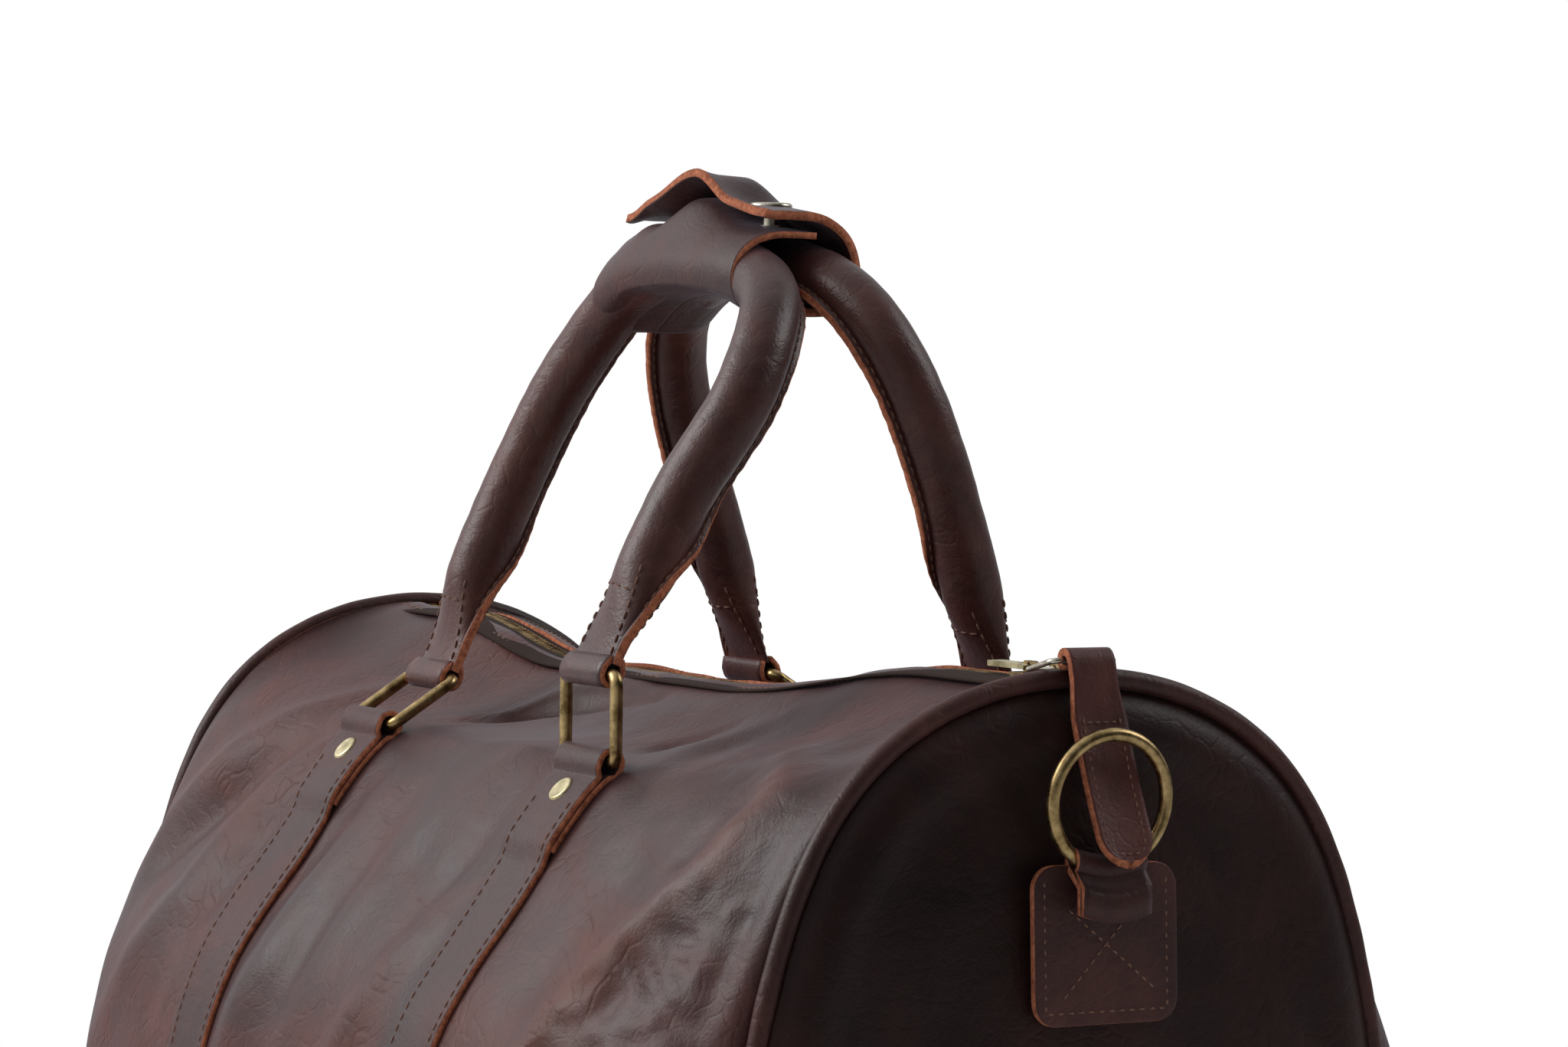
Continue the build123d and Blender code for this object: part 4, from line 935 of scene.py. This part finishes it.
# ---------------------------------------------------------------- grip wrap
# A wide band of thick hide holds the handles together: an inner layer round the front handle, and a
# flap from under both, up round the back handle and over the top, where two snaps hold its front
# edge. Between them the edge springs up in a wave.
wrap_left, wrap_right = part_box("wrap_sleeve")[0][0] / mm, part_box("wrap_sleeve")[1][0] / mm
wrap_middle, snap_spread, snap_y = (wrap_left + wrap_right) / 2, 30.0, 3.0
sleeve_profile = ((8.3, 436.3), (0, 436.5), (-8, 436.5), (-16, 434.6), (-22, 430), (-25.4, 423.5), (-25.2, 416.5),
                  (-22, 411.5), (-16, 408.8), (-8, 408.4), (-0.1, 408.5))
flap_profile = ((0.1, 408.5), (8, 408.4), (16, 408.8), (22.2, 411.6), (25.6, 417.5), (26, 424.5), (24.4, 431.5),
                (20.5, 437.3), (14, 441.9), (8, 443.6), (3, 443.8), (-2, 443.9), (-6, 444.1), (-10.5, 445.2),
                (-13, 446.2))
wrap_thickness = {"wrap_sleeve": 2.4, "wrap_flap": 3.2}


def wrap_droop(x, on_top):
    """How far the wrap stands above its middle height at x, less drawn down on its top left."""
    drawn = 0.0011 * (x - wrap_middle) ** 2 + 8.0 * smooth((-20 - x) / 40)
    return 0.9 - drawn * (1 - 0.85 * on_top * smooth(-x / 20))


for node, profile, body in (("wrap_sleeve", sleeve_profile, "handle_front"), ("wrap_flap", flap_profile, "wrap_flap")):
    rim = resampled(rounded_line([(0, y, z) for y, z in profile]), 110)
    grid = np.array([rim + (x, 0, 0) for x in np.linspace(wrap_left, wrap_right, 72)])
    flat = grid.reshape(-1, 3)
    x, y, z = grid[..., 0].copy(), grid[..., 1].copy(), grid[..., 2].copy()
    on_top = smooth((z - 434) / 6)
    held = sum(np.exp(-(((x - wrap_middle - side * snap_spread) / 11) ** 2 + ((y - snap_y) / 10) ** 2)) for side in (-1, 1))
    held = np.clip(held * 1.25, 0, 1) * on_top
    waver = (0.8 * cloud(flat, 26, 41) + 0.3 * cloud(flat, 10, 43)).reshape(x.shape)
    grid[..., 2] += (wrap_droop(x, on_top) + waver * 0.5) * (1 - held)
    hollow = np.clip(1 - ((x - wrap_middle) / 52) ** 2, 0, 1)
    grid[..., 2] += 5.2 * hollow * smooth((417 - z) / 7)
    if node == "wrap_sleeve":
        swell = 10.0 * np.exp(-(((x - 8) / 21) ** 2)) + 4.0 * smooth((-14 - x) / 20)
        grid[..., 2] += swell * smooth((y + 24) / 15) * smooth((z - 424) / 9) * (1 - held)
    if node == "wrap_flap":
        reach = np.where(x < 10, 27.0, 19.0)
        wave = 11.0 * np.exp(-(((x - 10) / reach) ** 2)) * smooth((27 - y) / 20) * smooth((z - 425) / 12)
        curl = smooth((-4 - y) / 9)
        grid[..., 2] += wave * (1 - held) + curl * (-1.6 * smooth((x - 40) / 20) - 3.2 * smooth((-28 - x) / 18))
        grid[..., 1] += smooth((z - 434) / 8) * curl * (0.9 * np.sin(x / 9) - 1.2 * np.exp(-(((x - 10) / 16) ** 2)))
    grid[..., 0] += 0.9 * cloud(flat * (0, 1, 1), 12, 47).reshape(x.shape) * smooth(np.abs(x - wrap_middle) / 40 - 0.3)
    wrap = lay_sheet(f"{node}_leather", grid, strap_hide)
    highest = max(wrap.data.polygons, key=lambda face: face.center.z)
    if highest.normal.z < 0:
        wrap.data.flip_normals()
    wrap.data.materials.append(raw_edge)
    wall = wrap.modifiers.new("wall", "SOLIDIFY")
    wall.thickness, wall.material_offset_rim = wrap_thickness[node] * mm, 1
    wall.offset = 2 * 1.15 / wrap_thickness[node] - 1
    bpy.ops.object.modifier_apply(modifier="wall")
    for face in wrap.data.polygons:
        if abs(face.normal.y) > 0.7 and face.center.z < 0.414 and abs(face.center.y) < 0.003:
            face.material_index = 0
    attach(wrap, body)
    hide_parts(node)

# ---------------------------------------------------------------- end tabs and round rings
# A patch of doubled hide on each end, box-stitched with a cross, holds its round ring in a loop.
ring_wire_x, ring_wire_z, ring_radius = 273.35, 227.0, 21.6
tab_wide, tab_low, tab_high, tab_corner = 55.0, 172.0, 224.0, 8.0
tab_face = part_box("ring_tab_right")[1][0] / mm


def rounded_patch(us, vs, half_w, half_h, corner):
    """A grid of flat places in a rectangle with round corners."""
    spots = np.zeros((len(us), len(vs), 2))
    for i, u in enumerate(us):
        for j, v in enumerate(vs):
            a, b = u * half_w, v * half_h
            over_a, over_b = abs(a) - (half_w - corner), abs(b) - (half_h - corner)
            if over_a > 0 and over_b > 0:
                pull_in = max(over_a, over_b) / hypot(over_a, over_b)
                a = np.sign(a) * (half_w - corner + over_a * pull_in)
                b = np.sign(b) * (half_h - corner + over_b * pull_in)
            spots[i, j] = a, b
    return spots


for side, word in ((1, "right"), (-1, "left")):
    shift, lean_in = (4.0, radians(4.0)) if side > 0 else (0.0, 0.0)
    half_h = (tab_high - tab_low) / 2
    flat = rounded_patch(np.linspace(-1, 1, 34), np.linspace(-1, 1, 34), tab_wide / 2, half_h, tab_corner)
    y = flat[..., 0] * cos(lean_in) + flat[..., 1] * sin(-lean_in) * -1 * 0.6 + shift * (1 - flat[..., 1] / half_h) / 2
    z = (tab_high + tab_low) / 2 + 4 + flat[..., 1]
    x = 268.2 + 0.0006 * (flat[..., 0] ** 2) + 0 * y
    patch = lay_sheet(f"ring_tab_{word}_patch", np.stack([side * x, y, z], 2), strap_hide)
    if patch.data.polygons[100].normal.x * side < 0:
        patch.data.flip_normals()
    thicken(patch, 2.6, outwards=True, bevel=0.35)
    loop_ys = np.linspace(-13, 13, 13)
    loop = []
    for y_here in loop_ys:
        lift = ring_radius - sqrt(ring_radius**2 - (y_here * 0.8) ** 2)
        turns = np.linspace(radians(-80), radians(262), 30)
        round_wire = [(ring_wire_x + eye_middle * cos(t), y_here, ring_wire_z + lift + eye_middle * sin(t)) for t in turns]
        down_front = [(tab_face + 0.4 - 0.4 * s, y_here, ring_wire_z + lift - 4 - 13 * s) for s in (1, 0.66, 0.33)]
        down_back = [(tab_face - 2.2, y_here, ring_wire_z + lift - 4 - 13 * s) for s in (0.33, 0.66, 1)]
        loop.append(down_front + round_wire[2:-2] + down_back)
    eye = lay_sheet(f"ring_tab_{word}_eye", np.array(loop) * (side, 1, 1), strap_hide)
    eye.data.materials.append(raw_edge)
    wall = eye.modifiers.new("wall", "SOLIDIFY")
    wall.thickness, wall.offset, wall.material_offset_rim = 1.8 * mm, 0.0, 1
    bpy.ops.object.modifier_apply(modifier="wall")
    tab = join_pieces(f"ring_tab_{word}_leather", [patch, eye])
    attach(tab, "bag")
    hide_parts(f"ring_tab_{word}")
    inset = 4.2
    a, b = tab_wide / 2 - inset, half_h - inset
    middle_z = (tab_high + tab_low) / 2 + 4

    def on_patch(u, v):
        return (side * 270.85, u * cos(lean_in) + v * sin(lean_in) * 0.6 + shift * (1 - v / half_h) / 2, middle_z + v)

    for label, ends in (("left", ((-a, -b), (-a, b))), ("right", ((a, -b), (a, b))), ("low", ((-a, -b), (a, -b))),
                        ("cross_up", ((-a * 0.72, -b * 0.8), (a * 0.5, b * 0.55))),
                        ("cross_down", ((-a * 0.62, b * 0.55), (a * 0.8, -b * 0.7)))):
        seam = [on_patch(*(np.array(ends[0]) * (1 - t) + np.array(ends[1]) * t)) for t in np.linspace(0, 1, 30)]
        sew(f"ring_tab_{word}_stitches_{label}", seam, [(side, 0, 0)] * 30, "bag", pitch=3.6, closed_up=2.3)

# ---------------------------------------------------------------- leather pull
# A doubled tongue of hide hangs from the yoke of the outer slider, through the right round ring.
pull_line = ((258.3, 0, 290.6), (256.4, 0, 292.2), (256.7, 0, 295), (259.6, 0, 296.2), (262.4, 0, 294), (263.6, 0.2, 288),
             (264.8, 0.6, 280), (267.2, 1, 270), (271.0, 1.5, 258), (275.6, 2, 246), (280.0, 2.4, 236),
             (283.2, 2.6, 228.5))
pull_path = resampled(rounded_line(pull_line), 90)
pull_along = np.linspace(0, 1, 90)
pull_length = np.linalg.norm(np.diff(pull_path, axis=0), axis=1).sum()
from_tip = (1 - pull_along) * pull_length
half_widths = np.where(from_tip < 10, np.sqrt(np.clip(100 - (10 - from_tip) ** 2, 0.5, None)), 10.0)
half_widths *= 0.84 + 0.16 * smooth((pull_along - 0.22) / 0.2)
grid = np.array([[spot + np.array([0, across * half, 0]) for spot, half in zip(pull_path, half_widths)]
                 for across in np.linspace(-1, 1, 17)])
normals = sheet_normals(grid, (1, 0, 0))
cup = 0.8 * (np.linspace(-1, 1, 17) ** 2)[:, None, None] * smooth((pull_along - 0.3) / 0.2)[None, :, None]
grid = grid + normals * cup
pull_hide = leather_finish("pull_leather", (0.05, 0.013, 0.01), (0.09, 0.024, 0.018), (0.14, 0.042, 0.028),
                           crease=0.3, bloom=0.1)
pull = lay_sheet("zip_pull_leather", grid, pull_hide)
pull.data.materials.append(raw_edge)
wall = pull.modifiers.new("wall", "SOLIDIFY")
wall.thickness, wall.offset, wall.material_offset_rim = 2.6 * mm, 0.0, 1
bpy.ops.object.modifier_apply(modifier="wall")
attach(pull, "leather_pull")
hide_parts("leather_pull")
for face in (-1, 1):
    rim = []
    for edge in (-1, 1):
        for i in (range(34, 88) if edge < 0 else range(87, 33, -1)):
            inside = max(0.0, half_widths[i] - 3.0)
            if from_tip[i] > 3.0:
                rim.append(pull_path[i] + (0, edge * inside, 0) + normals[8, i] * (1.32 * face + 0.5 * (inside / 10) ** 2))
    tip_out = [normals[8, 60] * face] * len(rim)
    sew(f"zip_pull_stitches_{'front' if face > 0 else 'back'}", rim, tip_out, "leather_pull", pitch=3.0, closed_up=2.0)
    top = [pull_path[36] + (0, y, 0) + normals[8, 36] * 1.34 * face for y in np.linspace(-6.2, 6.2, 12)]
    sew(f"zip_pull_top_stitches_{'front' if face > 0 else 'back'}", top, [normals[8, 36] * face] * 12, "leather_pull",
        pitch=3.0, closed_up=2.0)

for node, finish in (("base_board", cord_core),):
    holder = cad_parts[node]
    holder.data.materials.clear()
    holder.data.materials.append(finish)
